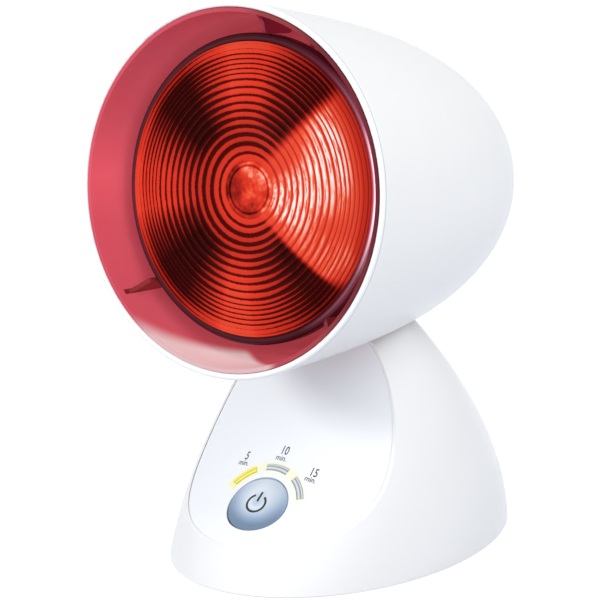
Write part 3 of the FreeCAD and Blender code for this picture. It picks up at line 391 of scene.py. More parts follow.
# %% Lens finish: bright backs and dark feet
needed = add(tree, "Math", (light, -1.15, 0.8), operation="MULTIPLY_ADD")
needed = add(tree, "Math", (fine, 0.4, needed), operation="MULTIPLY_ADD")
plain_rim = add(tree, "MapRange", (radius, 53.5, 55.5), **SOFT)
needed = add(tree, "Math", (plain_rim, -0.3, needed), operation="MULTIPLY_ADD")
spare = add(tree, "Math", (back_of_ring, needed), operation="SUBTRACT")
lit = add(tree, "MapRange", (spare, -0.14, 0.16), **SOFT)
low = add(tree, "Math", (light, 0.35), operation="MULTIPLY")
high = add(tree, "Math", (light, 0.82, 0.25), operation="MULTIPLY_ADD")
glow = between(tree, lit, low, high)
print("lens nodes so far:", len(tree.nodes))

# %% [markdown]
# The middle of the lens is plain.  The pressing leaves it cloudy, with one groove around it, and
# its painted light is lighter on the right and darker in the groove.

# %% Lens finish: bull's eye
EYE_RADIUS = 11.4
EYE_SOFT = 0.8
GROOVE_RADIUS = 9.4
EYE_CLOUD = 7.7

cloudy = add(tree, "TexNoise", {"Vector": place, "Scale": 1 / EYE_CLOUD, "Detail": 4.0,
                                "Roughness": 0.62})
eye = add(tree, "Math", (across, 0.022, -0.05), operation="MULTIPLY_ADD")
eye = add(tree, "Math", (cloudy, 1.5, eye), operation="MULTIPLY_ADD")
off_groove = apart(tree, radius, GROOVE_RADIUS)
groove = add(tree, "MapRange", (off_groove, 0.7, 0.2), **SOFT)
eye = add(tree, "Math", (groove, -0.3, eye), operation="MULTIPLY_ADD")
in_eye = add(tree, "MapRange", (radius, EYE_RADIUS + EYE_SOFT, EYE_RADIUS - EYE_SOFT), **SOFT)
glow = between(tree, in_eye, glow, eye)
print("lens nodes so far:", len(tree.nodes))

# %% [markdown]
# On the right the glass shows the filament's pale image, painted in a wedge between two straight
# edges.
# The wedge is cut from the plane by soft half planes, each a height that leans with X.

# %% Lens finish: wedge on the right
ROOF_LEAN, ROOF_HEIGHT, ROOF_SOFT = 1.04, 10.5, 9.0
GROUNDS = ((-0.56, -7.4, 3.5), (0.0, -34.0, 8.0))       # lean, height, softness

roof = add(tree, "Math", (across, ROOF_LEAN, ROOF_HEIGHT), operation="MULTIPLY_ADD")
room = add(tree, "Math", (roof, upward), operation="SUBTRACT")
wedge = add(tree, "MapRange", (room, 0.0, ROOF_SOFT), **SOFT)
for lean, height, soft in GROUNDS:
    ground = add(tree, "Math", (across, lean, height), operation="MULTIPLY_ADD")
    room = add(tree, "Math", (upward, ground), operation="SUBTRACT")
    room = add(tree, "MapRange", (room, 0.0, soft), **SOFT)
    wedge = add(tree, "Math", (wedge, room), operation="MULTIPLY")
off_middle = add(tree, "MapRange", (radius, 9.0, 15.0), **SOFT)
wedge = add(tree, "Math", (wedge, off_middle), operation="MULTIPLY")
print("lens nodes so far:", len(tree.nodes))

# %% [markdown]
# Inside the wedge every ring repeats the filament as broken pale arcs of painted light.  The noise
# for them is read along each ring and jumps from ring to ring, so the arcs follow the rings.

# %% Lens finish: pale arcs
IMAGE_CLOUD = 6.25

signed = add(tree, "Math", (degrees, 180), operation="ADD")
signed = add(tree, "Math", (signed, 360), operation="FLOORED_MODULO")
signed = add(tree, "Math", (signed, 180), operation="SUBTRACT")
along_ring = add(tree, "CombineXYZ", (
    add(tree, "Math", (ring, 3.7), operation="MULTIPLY"),
    add(tree, "Math", (signed, 0.08), operation="MULTIPLY"),
    add(tree, "Math", (radius, 1.3), operation="MULTIPLY")))
streak = add(tree, "TexNoise", {"Vector": along_ring, "Scale": 1.0, "Detail": 4.0,
                                "Roughness": 0.65})
streak = add(tree, "MapRange", (streak, 0.38, 0.58), **SOFT)
on_back = add(tree, "MapRange", (back_of_ring, 0.2, 0.7), **SOFT)
arc = add(tree, "Math", (on_back, streak), operation="MULTIPLY")

middle = add(tree, "MapRange", (radius, 20.0, 50.0, 1.0, 29.0), **SOFT)
off_band = apart(tree, signed, middle)
band = add(tree, "MapRange", (off_band, 38.0, 8.0), **SOFT)
inward = add(tree, "MapRange", (radius, 53.0, 46.0), **SOFT)
cloud = add(tree, "TexNoise", {"Vector": place, "Scale": 1 / IMAGE_CLOUD, "Detail": 2.0})
cloud = add(tree, "Math", (cloud, 0.3, 0.9), operation="MULTIPLY_ADD")
pale = add(tree, "Math", (band, inward), operation="MULTIPLY")
pale = add(tree, "Math", (pale, cloud), operation="MULTIPLY")
print("lens nodes so far:", len(tree.nodes))

# %% [markdown]
# The image is a sum: full red, the pale arcs, a few arcs lower down, less at the foot of each
# ring and less at the rim.

# %% Lens finish: image of the filament
image = add(tree, "Math", (pale, arc), operation="MULTIPLY")
image = add(tree, "Math", (image, 0.46, 0.8), operation="MULTIPLY_ADD")
image = add(tree, "Math", (pale, 0.06, image), operation="MULTIPLY_ADD")
off_low = apart(tree, signed, -24.0)
low_arc = add(tree, "MapRange", (off_low, 14.0, 4.0), **SOFT)
low_arc = add(tree, "Math", (low_arc, arc), operation="MULTIPLY")
image = add(tree, "Math", (low_arc, 0.16, image), operation="MULTIPLY_ADD")
foot = add(tree, "MapRange", (back_of_ring, 0.4, 0.1), **SOFT)
image = add(tree, "Math", (foot, -0.2, image), operation="MULTIPLY_ADD")
edge = add(tree, "MapRange", (radius, 52.5, 56.5), **SOFT)
image = add(tree, "Math", (edge, -0.14, image), operation="MULTIPLY_ADD")
glow = between(tree, wedge, glow, image)
print("lens nodes so far:", len(tree.nodes))

# %% [markdown]
# One scale turns the number into colour: unlit glass is nearly black, then red, then orange, and
# the filament itself is almost white.  The same colour is given as a weak painted glow, which
# stands for daylight that has passed the glass twice and comes back out of it.

# %% Lens finish: ruby scale
FULL_GLOW = 1.25

share = add(tree, "Math", (glow, FULL_GLOW), operation="DIVIDE")
red = add(tree, "ValToRGB", (share,), stops=(
    (0.0, "#1A0202"), (0.2, "#560C08"), (0.4, "#9A2018"), (0.6, "#D23624"), (0.7, "#E2583C"),
    (0.8, "#E9967F"), (1.0, "#FAE2D8")))
feed(shader, {"Base Color": red, "Emission Color": red,
              "Normal": add(tree, "Bump", {"Height": fine, "Distance": 0.02 * MM})})
print("lens finish done, nodes:", len(tree.nodes))

# %% [markdown]
# ## The bulb's body
# Behind the lens the same ruby glass is silvered inside.  Only its moulded flange is in sight: a
# nearly black red, painted crimson and given a painted glow where the light from the right passes
# through its edge, with thin painted highlights on its ledge.

# %% Finish of the bulb's body
LEDGE_FROM = 57.6
LEDGE_TO = 61.6
SWIRL_SIZE = 12.5

# ruby glass, silvered behind: dark and glossy, with painted light only where light enters its edge
ruby_body, tree, shader = new_finish("ruby_glass_silvered", "#4A1018", 0.1, IOR=1.5,
                                     Specular_IOR_Level=0.06, Specular_Tint="#FF8090")
place = level_place(tree, LIP_CENTRE, HEAD_TILT)
radius, degrees, _ = polar(tree, place)
painted_light_through_edge = around(tree, degrees, (
    (0, 1.0), (30, 0.95), (46, 0.5), (64, 0.2), (90, 0.03), (170, 0.08), (195, 0.2),
    (225, 0.05), (300, 0.03), (318, 0.25), (345, 0.6), (360, 1.0)))
red = add(tree, "Mix", {BY: painted_light_through_edge, FROM: "#3C0B12", TO: "#B83A5C"}, data_type="RGBA")
swirl = add(tree, "TexNoise", {"Vector": place, "Scale": 1 / SWIRL_SIZE, "Detail": 3.0})
swirl = add(tree, "Math", (swirl, 0.4), operation="MULTIPLY")
red = add(tree, "Mix", {BY: swirl, FROM: red, TO: "#14030A"}, data_type="RGBA")
# painted highlights: thin bright rings on the ledge, on the right side only
ledge = add(tree, "ValToRGB", (add(tree, "MapRange", (radius, LEDGE_FROM, LEDGE_TO)),), stops=(
    (0.0, 0.1), (0.1, 0.0), (0.2, 0.7), (0.32, 1.0), (0.44, 0.8), (0.52, 0.15), (0.62, 0.6),
    (0.75, 0.1)))
painted_light_on_right = around(tree, degrees, (
    (0, 1.0), (22, 0.9), (34, 0.2), (60, 0.03), (180, 0.03), (300, 0.02), (335, 0.15),
    (348, 0.6), (360, 1.0)))
painted_highlight = add(tree, "Math", (ledge, painted_light_on_right), operation="MULTIPLY")
red = add(tree, "Mix", {BY: painted_highlight, FROM: red, TO: "#FBDCE4"}, data_type="RGBA")
feed(shader, {"Base Color": red, "Emission Color": red,
              "Emission Strength": add(tree, "Math", (painted_light_on_right, 0.8), operation="MULTIPLY")})
print("body finish, nodes:", len(tree.nodes))

# %% [markdown]
# ## The shade
# Inside the head lies a lacquered shade.  With the red bulb in front of it, it takes on a
# crimson that is strong on the left, where daylight reaches it, and nearly black on the right.
# Its own little light stands for the glow that the bulb throws onto it.

# %% Shade finish: crimson wall
CLOUD_SIZE = 16.67

# lacquered sheet: even and smooth, a satin gloss, and the colour of the light that it is in
shade_red, tree, shader = new_finish("lacquered_shade", "#CF5062", 0.3, IOR=1.5,
                                     Specular_IOR_Level=0.2)
place = level_place(tree, LIP_CENTRE, HEAD_TILT)
radius, degrees, (_, depth, _) = polar(tree, place)
daylight = around(tree, degrees, (
    (0, 0.0), (60, 0.1), (74, 0.38), (86, 0.42), (93, 0.66), (122, 0.8), (165, 0.83), (184, 1.0),
    (200, 0.85), (240, 0.78), (290, 0.67), (314, 0.5), (330, 0.1), (360, 0.0)))
crimson = add(tree, "ValToRGB", (daylight,), stops=(
    (0.0, "#3C0E14"), (0.4, "#863630"), (0.8, "#D65262"), (1.0, "#F06070")))
# painted shade: the wall grows darker deeper inside the head
painted_deep_shade = add(tree, "MapRange", (depth, 4.0, 36.0, 0.0, 0.5), **SOFT)
crimson = add(tree, "Mix", {BY: painted_deep_shade, FROM: crimson, TO: "#A03038"}, data_type="RGBA")
# random drift towards pink, only where the painted daylight falls
painted_light_drift = add(tree, "TexNoise", {"Vector": place, "Scale": 1 / CLOUD_SIZE, "Detail": 2.0})
painted_light_drift = add(tree, "Math", (painted_light_drift, 0.26), operation="MULTIPLY")
painted_light_drift = add(tree, "Math", (painted_light_drift, daylight), operation="MULTIPLY")
crimson = add(tree, "Mix", {BY: painted_light_drift, FROM: crimson, TO: "#E97A84"}, data_type="RGBA")
print("shade nodes so far:", len(tree.nodes))

# %% [markdown]
# A painted pool of daylight from the front lies on the lower wall in a patch that narrows with
# depth.  The three fins stand edge on to the light, so they are painted darker than the wall, and
# the cut front edge of the shade is painted darker too.

# %% Shade finish: daylight patch, fins and rim
FIN_HALF_WIDTH = 1.25
FIN_SOFT = 0.25
FIN_START = 3.4
LACQUER_GRAIN = 0.714
PATCH_START, PATCH_END = 231.0, 297.5       # degrees at the lip

start = add(tree, "Math", (depth, 1.07, PATCH_START), operation="MULTIPLY_ADD")
start = add(tree, "Math", (degrees, start), operation="SUBTRACT")
start = add(tree, "MapRange", (start, 0.0, 15.0), **SOFT)
end = add(tree, "Math", (depth, -1.0, PATCH_END), operation="MULTIPLY_ADD")
end = add(tree, "Math", (end, degrees), operation="SUBTRACT")
end = add(tree, "MapRange", (end, 0.0, 5.0, 0.0, 0.92), **SOFT)
painted_daylight_patch = add(tree, "Math", (start, end), operation="MULTIPLY")
crimson = add(tree, "Mix", {BY: painted_daylight_patch, FROM: crimson, TO: "#F2D6D6"}, data_type="RGBA")
# painted shade on the three fins, which stand edge on to the light
for angle, shade in ((90, "#861E34"), (225, "#7E2428"), (315, "#74202C")):
    beside = add(tree, "Math", (apart(tree, degrees, angle), radius), operation="MULTIPLY")
    beside = add(tree, "Math", (beside, math.pi / 180), operation="MULTIPLY")
    on_fin = add(tree, "MapRange", (beside, FIN_HALF_WIDTH, FIN_HALF_WIDTH - FIN_SOFT),
                 **SOFT)
    behind = add(tree, "MapRange", (depth, FIN_START, FIN_START + 0.6), **SOFT)
    on_fin = add(tree, "Math", (on_fin, behind), operation="MULTIPLY")
    crimson = add(tree, "Mix", {BY: on_fin, FROM: crimson, TO: shade}, data_type="RGBA")
# painted shade on the cut front edge, which faces the light
painted_rim_shade = add(tree, "MapRange", (depth, 0.9, 0.65, 0.0, 0.35), **SOFT)
crimson = add(tree, "Mix", {BY: painted_rim_shade, FROM: crimson, TO: "#8A2436"}, data_type="RGBA")
lacquer = add(tree, "TexNoise", {"Vector": place, "Scale": 1 / LACQUER_GRAIN, "Detail": 2.0})
feed(shader, {"Base Color": crimson, "Emission Color": crimson,
              "Emission Strength": add(tree, "MapRange", (depth, 2.0, 30.0, 0.1, 0.5), **SOFT),
              "Normal": add(tree, "Bump", {"Height": lacquer, "Distance": 0.01 * MM})})
print("shade finish done, nodes:", len(tree.nodes))

# %% [markdown]
# ## Metals inside
# The pieces inside are seldom seen, but each has its own real surface.  They share one function,
# because all of them are two near colours, a fine grain and a little spread in their gloss.


# %% Metal finishes
def simple_finish(name, first, second, roughness, size_mm=4.0, grain_mm=0.6, height_mm=0.02,
                  **sockets):
    """Two near colours that drift over size_mm, a fine grain and a little spread in its gloss."""
    material, tree, shader = new_finish(name, first, roughness, **sockets)
    place = grain(tree, shader, grain_mm, height_mm,
                  (max(roughness - 0.06, 0.02), min(roughness + 0.08, 1.0)))
    tint(tree, shader, place, size_mm, first, second)
    return material


# zinc plated sheet: cool grey, half bright, with faint rolling marks
zinc = simple_finish("zinc_plated_sheet", "#A9ADB3", "#C2C6CB", 0.38, Metallic=1.0)
# ground steel: finer and brighter, as a turned axle is
ground_steel = simple_finish("ground_steel", "#B5B7BA", "#CACCCF", 0.25, 2.0, 0.2, 0.005,
                             Metallic=1.0)
# blue zinc on screws: a light metal with a cold cast
screw_zinc = simple_finish("blue_zinc_screws", "#B9BEC6", "#D3D6DB", 0.3, 1.0, 0.3, 0.008,
                           Metallic=1.0)
# brass: warm yellow, brighter than the tinned cap beside it
brass = simple_finish("brass", "#C9A765", "#DDBE7E", 0.3, Metallic=1.0)
# tinned brass cap: a dull, slightly warm grey
cap_tin = simple_finish("tinned_cap", "#C8C2B0", "#DAD5C6", 0.34, Metallic=1.0)
# nickel wire: grey and thin, read only by its glints
wire = simple_finish("nickel_wire", "#9A9A98", "#B4B4B0", 0.35, Metallic=1.0)
# tempered strip: a darker blue grey from its heat treatment
spring = simple_finish("tempered_strip", "#7E8288", "#9A9EA4", 0.3, Metallic=1.0)
print("metals done, finishes:", len(bpy.data.materials))

# %% [markdown]
# ## Ceramic and glass inside
# The holder is pressed from steatite, which stays chalky; the glasses are told apart by how deep
# their colour is.

# %% Ceramic and glass finishes
# steatite: cream white and matt, with pressed grain
steatite = simple_finish("steatite", "#E9E6DC", "#F2F0E9", 0.6, 6.0, 0.4, 0.03)
# vitrite: black glass, glossy as poured
black_glass = simple_finish("black_vitrite", "#0E0E10", "#19191C", 0.15)
# stem glass: colourless, almost smooth
clear_glass = simple_finish("stem_glass", "#DDE3E4", "#EEF2F2", 0.05)
print("ceramic and glass done, finishes:", len(bpy.data.materials))

# %% [markdown]
# ## Plastics and rubber inside
# Plastics differ in their fill and in the tool they come from: glass fibre dulls nylon, an
# eroded tool leaves a fine grain, and rubber takes almost all the gloss away.

# %% Plastic and rubber finishes
# glass filled nylon, black: dull with short bright fibres
nylon_black = simple_finish("glass_filled_nylon_black", "#1B1B1D", "#2A2A2D", 0.55, 2.0, 0.25,
                            0.03)
# glass filled nylon, white: the same grain, warmer and duller than ABS
nylon_white = simple_finish("glass_filled_nylon_white", "#DADBDE", "#E6E7EA", 0.5, 5.0, 0.3, 0.03)
# friction disc: fibre board, no gloss at all
friction = simple_finish("friction_disc", "#222222", "#343231", 0.8, 1.0, 0.3, 0.05)
# silicone: milky and soft looking
silicone = simple_finish("silicone", "#C8CED2", "#D6DBDE", 0.45)
# black mouldings of switch, relay and buzzer: even, half matt
black_case = simple_finish("black_moulding", "#141415", "#202022", 0.42, 3.0, 0.3, 0.03)
# ABS from an eroded tool: matt light grey, under the base
plate_abs = simple_finish("eroded_abs_plate", "#DBDDE1", "#E6E7EA", 0.62, 20.0, 0.35, 0.05)
# pad rubber: dark, matt and a little dusty
pad_rubber = simple_finish("pad_rubber", "#3B3C3F", "#4A4B4E", 0.85, 2.0, 0.3, 0.06)
# gland nylon: smooth white, a little duller than the housing
gland_white = simple_finish("gland_nylon", "#E6E7EA", "#F0F0F2", 0.4)
print("plastics done, finishes:", len(bpy.data.materials))

# %% [markdown]
# ## Electronics inside
# A board is told by its green mask, and its parts by the colours that their makers keep to.

# %% Electronics finishes
# solder mask: a glossy green lacquer over the copper
solder_mask = simple_finish("green_solder_mask", "#0E5A33", "#14683D", 0.32, 3.0, 0.5, 0.01)
# diode epoxy: clear with a yellow cast
led_clear = simple_finish("diode_epoxy", "#F1EFD2", "#FAF8E6", 0.12)
# film capacitor: a yellow plastic box
yellow_box = simple_finish("film_capacitor_case", "#D8AE22", "#E4BE3C", 0.4)
# terminal moulding: the usual green of screw terminals
terminal_green = simple_finish("terminal_moulding", "#2C8A4A", "#37995A", 0.45)
print("finishes:", len(bpy.data.materials))

# %% [markdown]
# ## Light guides
# Three clear bars bring the light of the diodes to the panel.  The first is lit, the others are
# painted the silvery grey that unlit polycarbonate mirrors from the white around it.  Refraction
# would hardly show at this size, so the outline, the body and the two bright lines of a bar are
# drawn across its width: a painted dark outline and painted highlights.

# %% Finishes of the light guides
GUIDE_RADIUS = 18.0
GUIDE_WIDTH = 2.6
GUIDE_CLOUD = 1.667


def guide_finish(name, edge, body, painted_highlight, glow):
    """A clear bar: a painted dark outline, a lighter body and painted highlight lines along it."""
    material, tree, shader = new_finish(name, body, 0.15, IOR=1.58, Coat_Weight=0.5,
                                        Emission_Strength=glow)
    place = level_place(tree, PANEL_CENTRE, -PANEL_SLOPE)
    radius = polar(tree, place, up_axis=1)[0]
    width = add(tree, "MapRange", (radius, GUIDE_RADIUS - GUIDE_WIDTH / 2,
                                   GUIDE_RADIUS + GUIDE_WIDTH / 2))
    bar = add(tree, "ValToRGB", (width,), stops=(
        (0.0, edge), (0.12, body), (0.36, painted_highlight), (0.5, body), (0.62, edge), (0.72, body),
        (0.9, painted_highlight), (1.0, edge)))
    noise = add(tree, "TexNoise", {"Vector": place, "Scale": 1 / GUIDE_CLOUD})
    noise = add(tree, "Math", (noise, 0.2), operation="MULTIPLY")
    shade = add(tree, "Mix", {BY: noise, FROM: bar, TO: body}, data_type="RGBA")
    feed(shader, {"Base Color": shade, "Emission Color": shade})
    return material


# polycarbonate, lit from below: full yellow with near white painted highlight lines
guide_lit = guide_finish("polycarbonate_lit", "#A8900E", "#EADA1E", "#FBF27A", 0.12)
# polycarbonate, unlit: a painted silvery reflection of the white around it
guide_grey = guide_finish("polycarbonate_unlit", "#7F8884", "#B4BCC2", "#E8ECF0", 0.0)
print("guides:", guide_lit.name, guide_grey.name)

# %% [markdown]
# ## The button
# The button is lacquered in a pearl blue, with fine flakes and a clear coat.  Its dome is painted
# pale where it faces the light and deeper towards its lower rim: painted shading, drawn as a scale
# over the button's dome.

# %% Finish of the button
FLAKE_SIZE = 0.25

# pearl lacquer under a clear coat: fine flakes, painted shading over the dome, a crisp highlight
button_blue, tree, shader = new_finish("pearl_blue_lacquer", "#AFC3DC", 0.22, Metallic=0.15,
                                       Coat_Weight=0.6, Coat_Roughness=0.08)
place = level_place(tree, PANEL_CENTRE, -PANEL_SLOPE)
radius, _, (_, upward, _) = polar(tree, place, up_axis=1)
# painted shading: pale towards the light, deeper towards the lower rim
outward = add(tree, "Math", (radius, 0.065), operation="MULTIPLY")
outward = add(tree, "Math", (upward, -0.035, outward), operation="MULTIPLY_ADD")
painted_dome_shading = add(tree, "ValToRGB", (outward,), stops=(
    (0.0, "#B4C4D8"), (0.22, "#DBE4EE"), (0.45, "#BCCBDC"), (0.7, "#8BA2BE"), (0.9, "#65819F"),
    (1.0, "#587492")))
flakes = add(tree, "TexNoise", {"Vector": place, "Scale": 1 / FLAKE_SIZE, "Detail": 2.0})
share = add(tree, "Math", (flakes, 0.12), operation="MULTIPLY")
feed(shader, {"Base Color": add(tree, "Mix", {BY: share, FROM: painted_dome_shading, TO: "#F4F8FD"},
                                data_type="RGBA"),
              "Normal": add(tree, "Bump", {"Height": flakes, "Distance": 0.004 * MM})})
print("button finish, nodes:", len(tree.nodes))

# %% [markdown]
# ## Halo on the fascia
# The lit bar spills yellow into the white panel around the guides, strongest at the first.  It
# could be a small lamp under the panel, but the panel's plastic is only thinly see-through, so
# the spill is drawn into its white.

# %% Fascia and its halo
# moulded ABS, polished: a slightly cooler white than the shell around it
fascia_white, tree, shader, paint = white_abs("polished_white_abs_fascia", "#F3F6F9", "#F7F9FB",
                                              (0.24, 0.32))
radius, degrees, _ = polar(tree, level_place(tree, PANEL_CENTRE, -PANEL_SLOPE), up_axis=1)
off_arc = apart(tree, radius, GUIDE_RADIUS)
halo = add(tree, "MapRange", (off_arc, 3.6, 1.4), **SOFT)
share = around(tree, degrees, (
    (0, 0.0), (18, 0.0), (22, 0.45), (120, 0.5), (126, 1.0), (160, 1.0), (166, 0.0), (360, 0.0)))
halo = add(tree, "Math", (halo, share), operation="MULTIPLY")
feed(shader, {"Base Color": add(tree, "Mix", {BY: halo, FROM: paint, TO: "#F8F7B4"},
                                data_type="RGBA")})
print("fascia finish, nodes:", len(tree.nodes))

# %% [markdown]
# ## Dress the solids
# Each solid keeps its place and shape and only takes a finish, which is put into its first
# material slot.

# %% Finish of each solid
finish_of = {
    "head_shell": head_white, "shade_liner": shade_red, "bulb_lens": lens_red,
    "bulb_reflector": ruby_body, "bulb_cap": cap_tin, "bulb_insulator": black_glass,
    "bulb_contact": brass, "bulb_stem": clear_glass, "bulb_filament": wire,
    "lamp_holder": steatite, "holder_thread": brass, "holder_bracket": zinc,
    "bracket_screws": screw_zinc, "hinge_ear_right": zinc, "hinge_ear_left": zinc,
    "ear_screws": screw_zinc, "hinge_axle": ground_steel, "axle_clip": ground_steel,
    "detent_cam": nylon_black, "base_shell": base_white, "base_fascia": fascia_white,
    "neck_cap": nylon_white, "cap_screws": screw_zinc, "friction_washers": friction,
    "detent_spring": spring, "button_dome": silicone, "tact_switch": black_case,
    "control_board": solder_mask, "board_screws": screw_zinc, "board_leds": led_clear,
    "light_guide_5": guide_lit, "light_guide_10": guide_grey, "light_guide_15": guide_grey,
    "base_plate": plate_abs, "grip_pads": pad_rubber, "plate_screws": screw_zinc,
    "power_board": solder_mask, "power_screws": screw_zinc, "relay": black_case,
    "capacitor": yellow_box, "buzzer": black_case, "terminal_block": terminal_green,
    "cable_gland": gland_white, "power_button": button_blue,
}
for name, finish in finish_of.items():
    mesh = nodes[name].data
    mesh.materials.clear()
    mesh.materials.append(finish)
print("dressed:", len(finish_of), "of", len(nodes))

# %% [markdown]
# ## A lathe
# The lens and its ledge are round about the bulb's axis, so they are turned as on a lathe: the
# cross section is drawn once as a line of points and spun all the way round.  The spin closes
# onto its own start, doubles on the axis are merged, and the faces are made to point outwards.

# %% Lathe
TURN_STEPS = 128


def lathe(name, outline, finish):
    """Spin an outline of (radius, depth behind the lip), in mm, about the bulb's axis."""
    mesh = bpy.data.meshes.new(name)
    bm = bmesh.new()
    line = [bm.verts.new((r * MM, s * MM, 0)) for r, s in outline]
    for a, b in zip(line, line[1:]):
        bm.edges.new((a, b))
    bmesh.ops.spin(bm, geom=bm.verts[:] + bm.edges[:], cent=(0, 0, 0), axis=(0, 1, 0),
                   dvec=(0, 0, 0), angle=2 * math.pi, steps=TURN_STEPS, use_merge=True)
    bmesh.ops.remove_doubles(bm, verts=bm.verts, dist=1e-6)
    bmesh.ops.recalc_face_normals(bm, faces=bm.faces)
    bmesh.ops.transform(bm, matrix=head_frame, verts=bm.verts)
    bm.to_mesh(mesh)
    bm.free()
    mesh.polygons.foreach_set("use_smooth", [True] * len(mesh.polygons))
    mesh.materials.append(finish)
    piece = bpy.data.objects.new(name, mesh)
    scene.collection.objects.link(piece)
    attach(piece, "head")
    return piece


print("one step of the lathe, degrees:", 360 / TURN_STEPS)

# %% [markdown]
# ## The pressed lens
# The front glass swells towards a ring of its own at half its radius, sinks in the middle, and
# carries the pressed rings: steep ones inside, fine ones near the rim.  The depth behind the lip
# is one function of the radius, sampled finely enough for the finest ring.

# %% Lens
LENS_RADIUS = 57.7
LENS_EDGE = 14.0            # depths behind the lip
LENS_HUMP = 10.6
LENS_MIDDLE = 12.8
HUMP_RADIUS = 31.0
MIDDLE_RADIUS = 12.0
RING_HEIGHT = 0.4
FINE_HEIGHT = 0.22
FINE_FROM = 44.0
RINGED_TO = 54.5
OUTLINE_POINTS = 330
BACK_EDGE, BACK_HALFWAY, BACK_MIDDLE = 16.0, 14.4, 15.0


def lens_surface(r):
    """Depth of the ringed front glass behind the lip, at a distance from the axis."""
    if r < HUMP_RADIUS:
        share = min(max((r - MIDDLE_RADIUS) / (HUMP_RADIUS - MIDDLE_RADIUS), 0), 1)
        depth = LENS_MIDDLE + (LENS_HUMP - LENS_MIDDLE) * share * share * (3 - 2 * share)
    else:
        share = (r - HUMP_RADIUS) / (LENS_RADIUS - HUMP_RADIUS)
        depth = LENS_HUMP + (LENS_EDGE - LENS_HUMP) * share ** 2
    if MIDDLE_RADIUS - 2 < r < RINGED_TO:
        height = RING_HEIGHT if r < FINE_FROM else FINE_HEIGHT
        depth += height * abs(math.cos(math.pi * ring_count(r))) ** 3
    return depth


radii = [LENS_RADIUS * i / OUTLINE_POINTS for i in range(OUTLINE_POINTS + 1)]
outline = [(r, lens_surface(r)) for r in radii]
outline += [(LENS_RADIUS, BACK_EDGE), (LENS_RADIUS / 2, BACK_HALFWAY), (0, BACK_MIDDLE)]
lens = lathe("ringed_lens", outline, lens_red)
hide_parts("bulb_lens")
print("lens faces:", len(lens.data.polygons))

# %% [markdown]
# ## The lens's ledge
# Around the lens runs the moulded rim where the front glass is joined to the bulb's body.  It
# has a shallow groove, and its outer edge is rounded.

# %% Ledge
FLANGE_RADIUS = 61.0
FLANGE_FRONT = 15.0
LEDGE_BACK = 17.45

outline = [(LENS_RADIUS, LEDGE_BACK - 0.85), (LENS_RADIUS, FLANGE_FRONT - 0.4),
           (LENS_RADIUS + 0.5, FLANGE_FRONT), (LENS_RADIUS + 1.2, FLANGE_FRONT + 0.1),
           (LENS_RADIUS + 1.7, FLANGE_FRONT - 0.15), (LENS_RADIUS + 2.3, FLANGE_FRONT),
           (FLANGE_RADIUS - 0.4, FLANGE_FRONT + 0.5), (FLANGE_RADIUS, FLANGE_FRONT + 1.2),
           (FLANGE_RADIUS, LEDGE_BACK), (LENS_RADIUS, LEDGE_BACK),
           (LENS_RADIUS, LEDGE_BACK - 0.85)]
ledge = lathe("lens_ledge", outline, ruby_body)
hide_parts("bulb_lens")
print("ledge faces:", len(ledge.data.polygons))

# %% [markdown]
# ## Printing on the panel
# The three times and the power sign are screen printed.  Ink is a thin matt film, so its finish
# is simple, and a picture would need a UV map that the panel doesn't have.

# %% Ink
# screen printing ink: nearly black, matt against the gloss around it
ink, tree, shader = new_finish("screen_print_ink", "#20242A", 0.5)
tint(tree, shader, grain(tree, shader, 0.4, 0.01), 2.0, "#20242A", "#2C3138")
print("ink:", ink.name)

# %% [markdown]
# Each sign is a flat mesh.  It is cut into small faces, and every point is dropped along the
# panel's normal onto the surface that it is printed on, so that it follows the scoop.

# %% How ink is laid on
INK_LIFT = 0.03
LONG_EDGE = 1.2
DROP_FROM = 20.0            # above the panel's plane
DROP_REACH = 50.0


def surface_of(name):
    """A search tree over one solid's faces."""
    bm = bmesh.new()
    bm.from_mesh(nodes[name].data)
    found = BVHTree.FromBMesh(bm)
    bm.free()
    return found


def print_on(name, mesh, surface, body):
    """Drop a flat mesh, drawn on the panel's plane in mm, onto a surface."""
    normal = panel_frame.to_3x3() @ Vector((0, 0, 1))
    bm = bmesh.new()
    bm.from_mesh(mesh)
    bmesh.ops.remove_doubles(bm, verts=bm.verts, dist=1e-4)
    bmesh.ops.triangulate(bm, faces=bm.faces)
    for _ in range(2):
        long_edges = [edge for edge in bm.edges if edge.calc_length() > LONG_EDGE]
        if long_edges:
            bmesh.ops.subdivide_edges(bm, edges=long_edges, cuts=2)
            bmesh.ops.triangulate(bm, faces=bm.faces)
    bmesh.ops.transform(bm, matrix=panel_frame @ Matrix.Scale(MM, 4), verts=bm.verts)
    for vert in bm.verts:
        hit = surface.ray_cast(vert.co + normal * DROP_FROM * MM, -normal, DROP_REACH * MM)[0]
        if hit is not None:
            vert.co = hit + normal * INK_LIFT * MM
    bmesh.ops.recalc_face_normals(bm, faces=bm.faces)
    if sum(face.normal.dot(normal) for face in bm.faces) < 0:
        bmesh.ops.reverse_faces(bm, faces=bm.faces)
    done = bpy.data.meshes.new(name)
    bm.to_mesh(done)
    bm.free()
    done.materials.append(ink)
    piece = bpy.data.objects.new(name, done)
    scene.collection.objects.link(piece)
    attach(piece, body)
    return piece


fascia_surface = surface_of("base_fascia")
button_surface = surface_of("power_button")
print("ink is laid on in faces of at most", LONG_EDGE, "mm, lifted by", INK_LIFT, "mm")

# %% [markdown]
# ## The three times
# The numbers are set narrow, with a small "min." under each.  Text is an object of its own kind
# in Blender, so it is turned into a mesh before it is placed and laid on.

# %% Numbers and units
NUMBER_SIZE = 5.2
UNIT_SIZE = 3.3


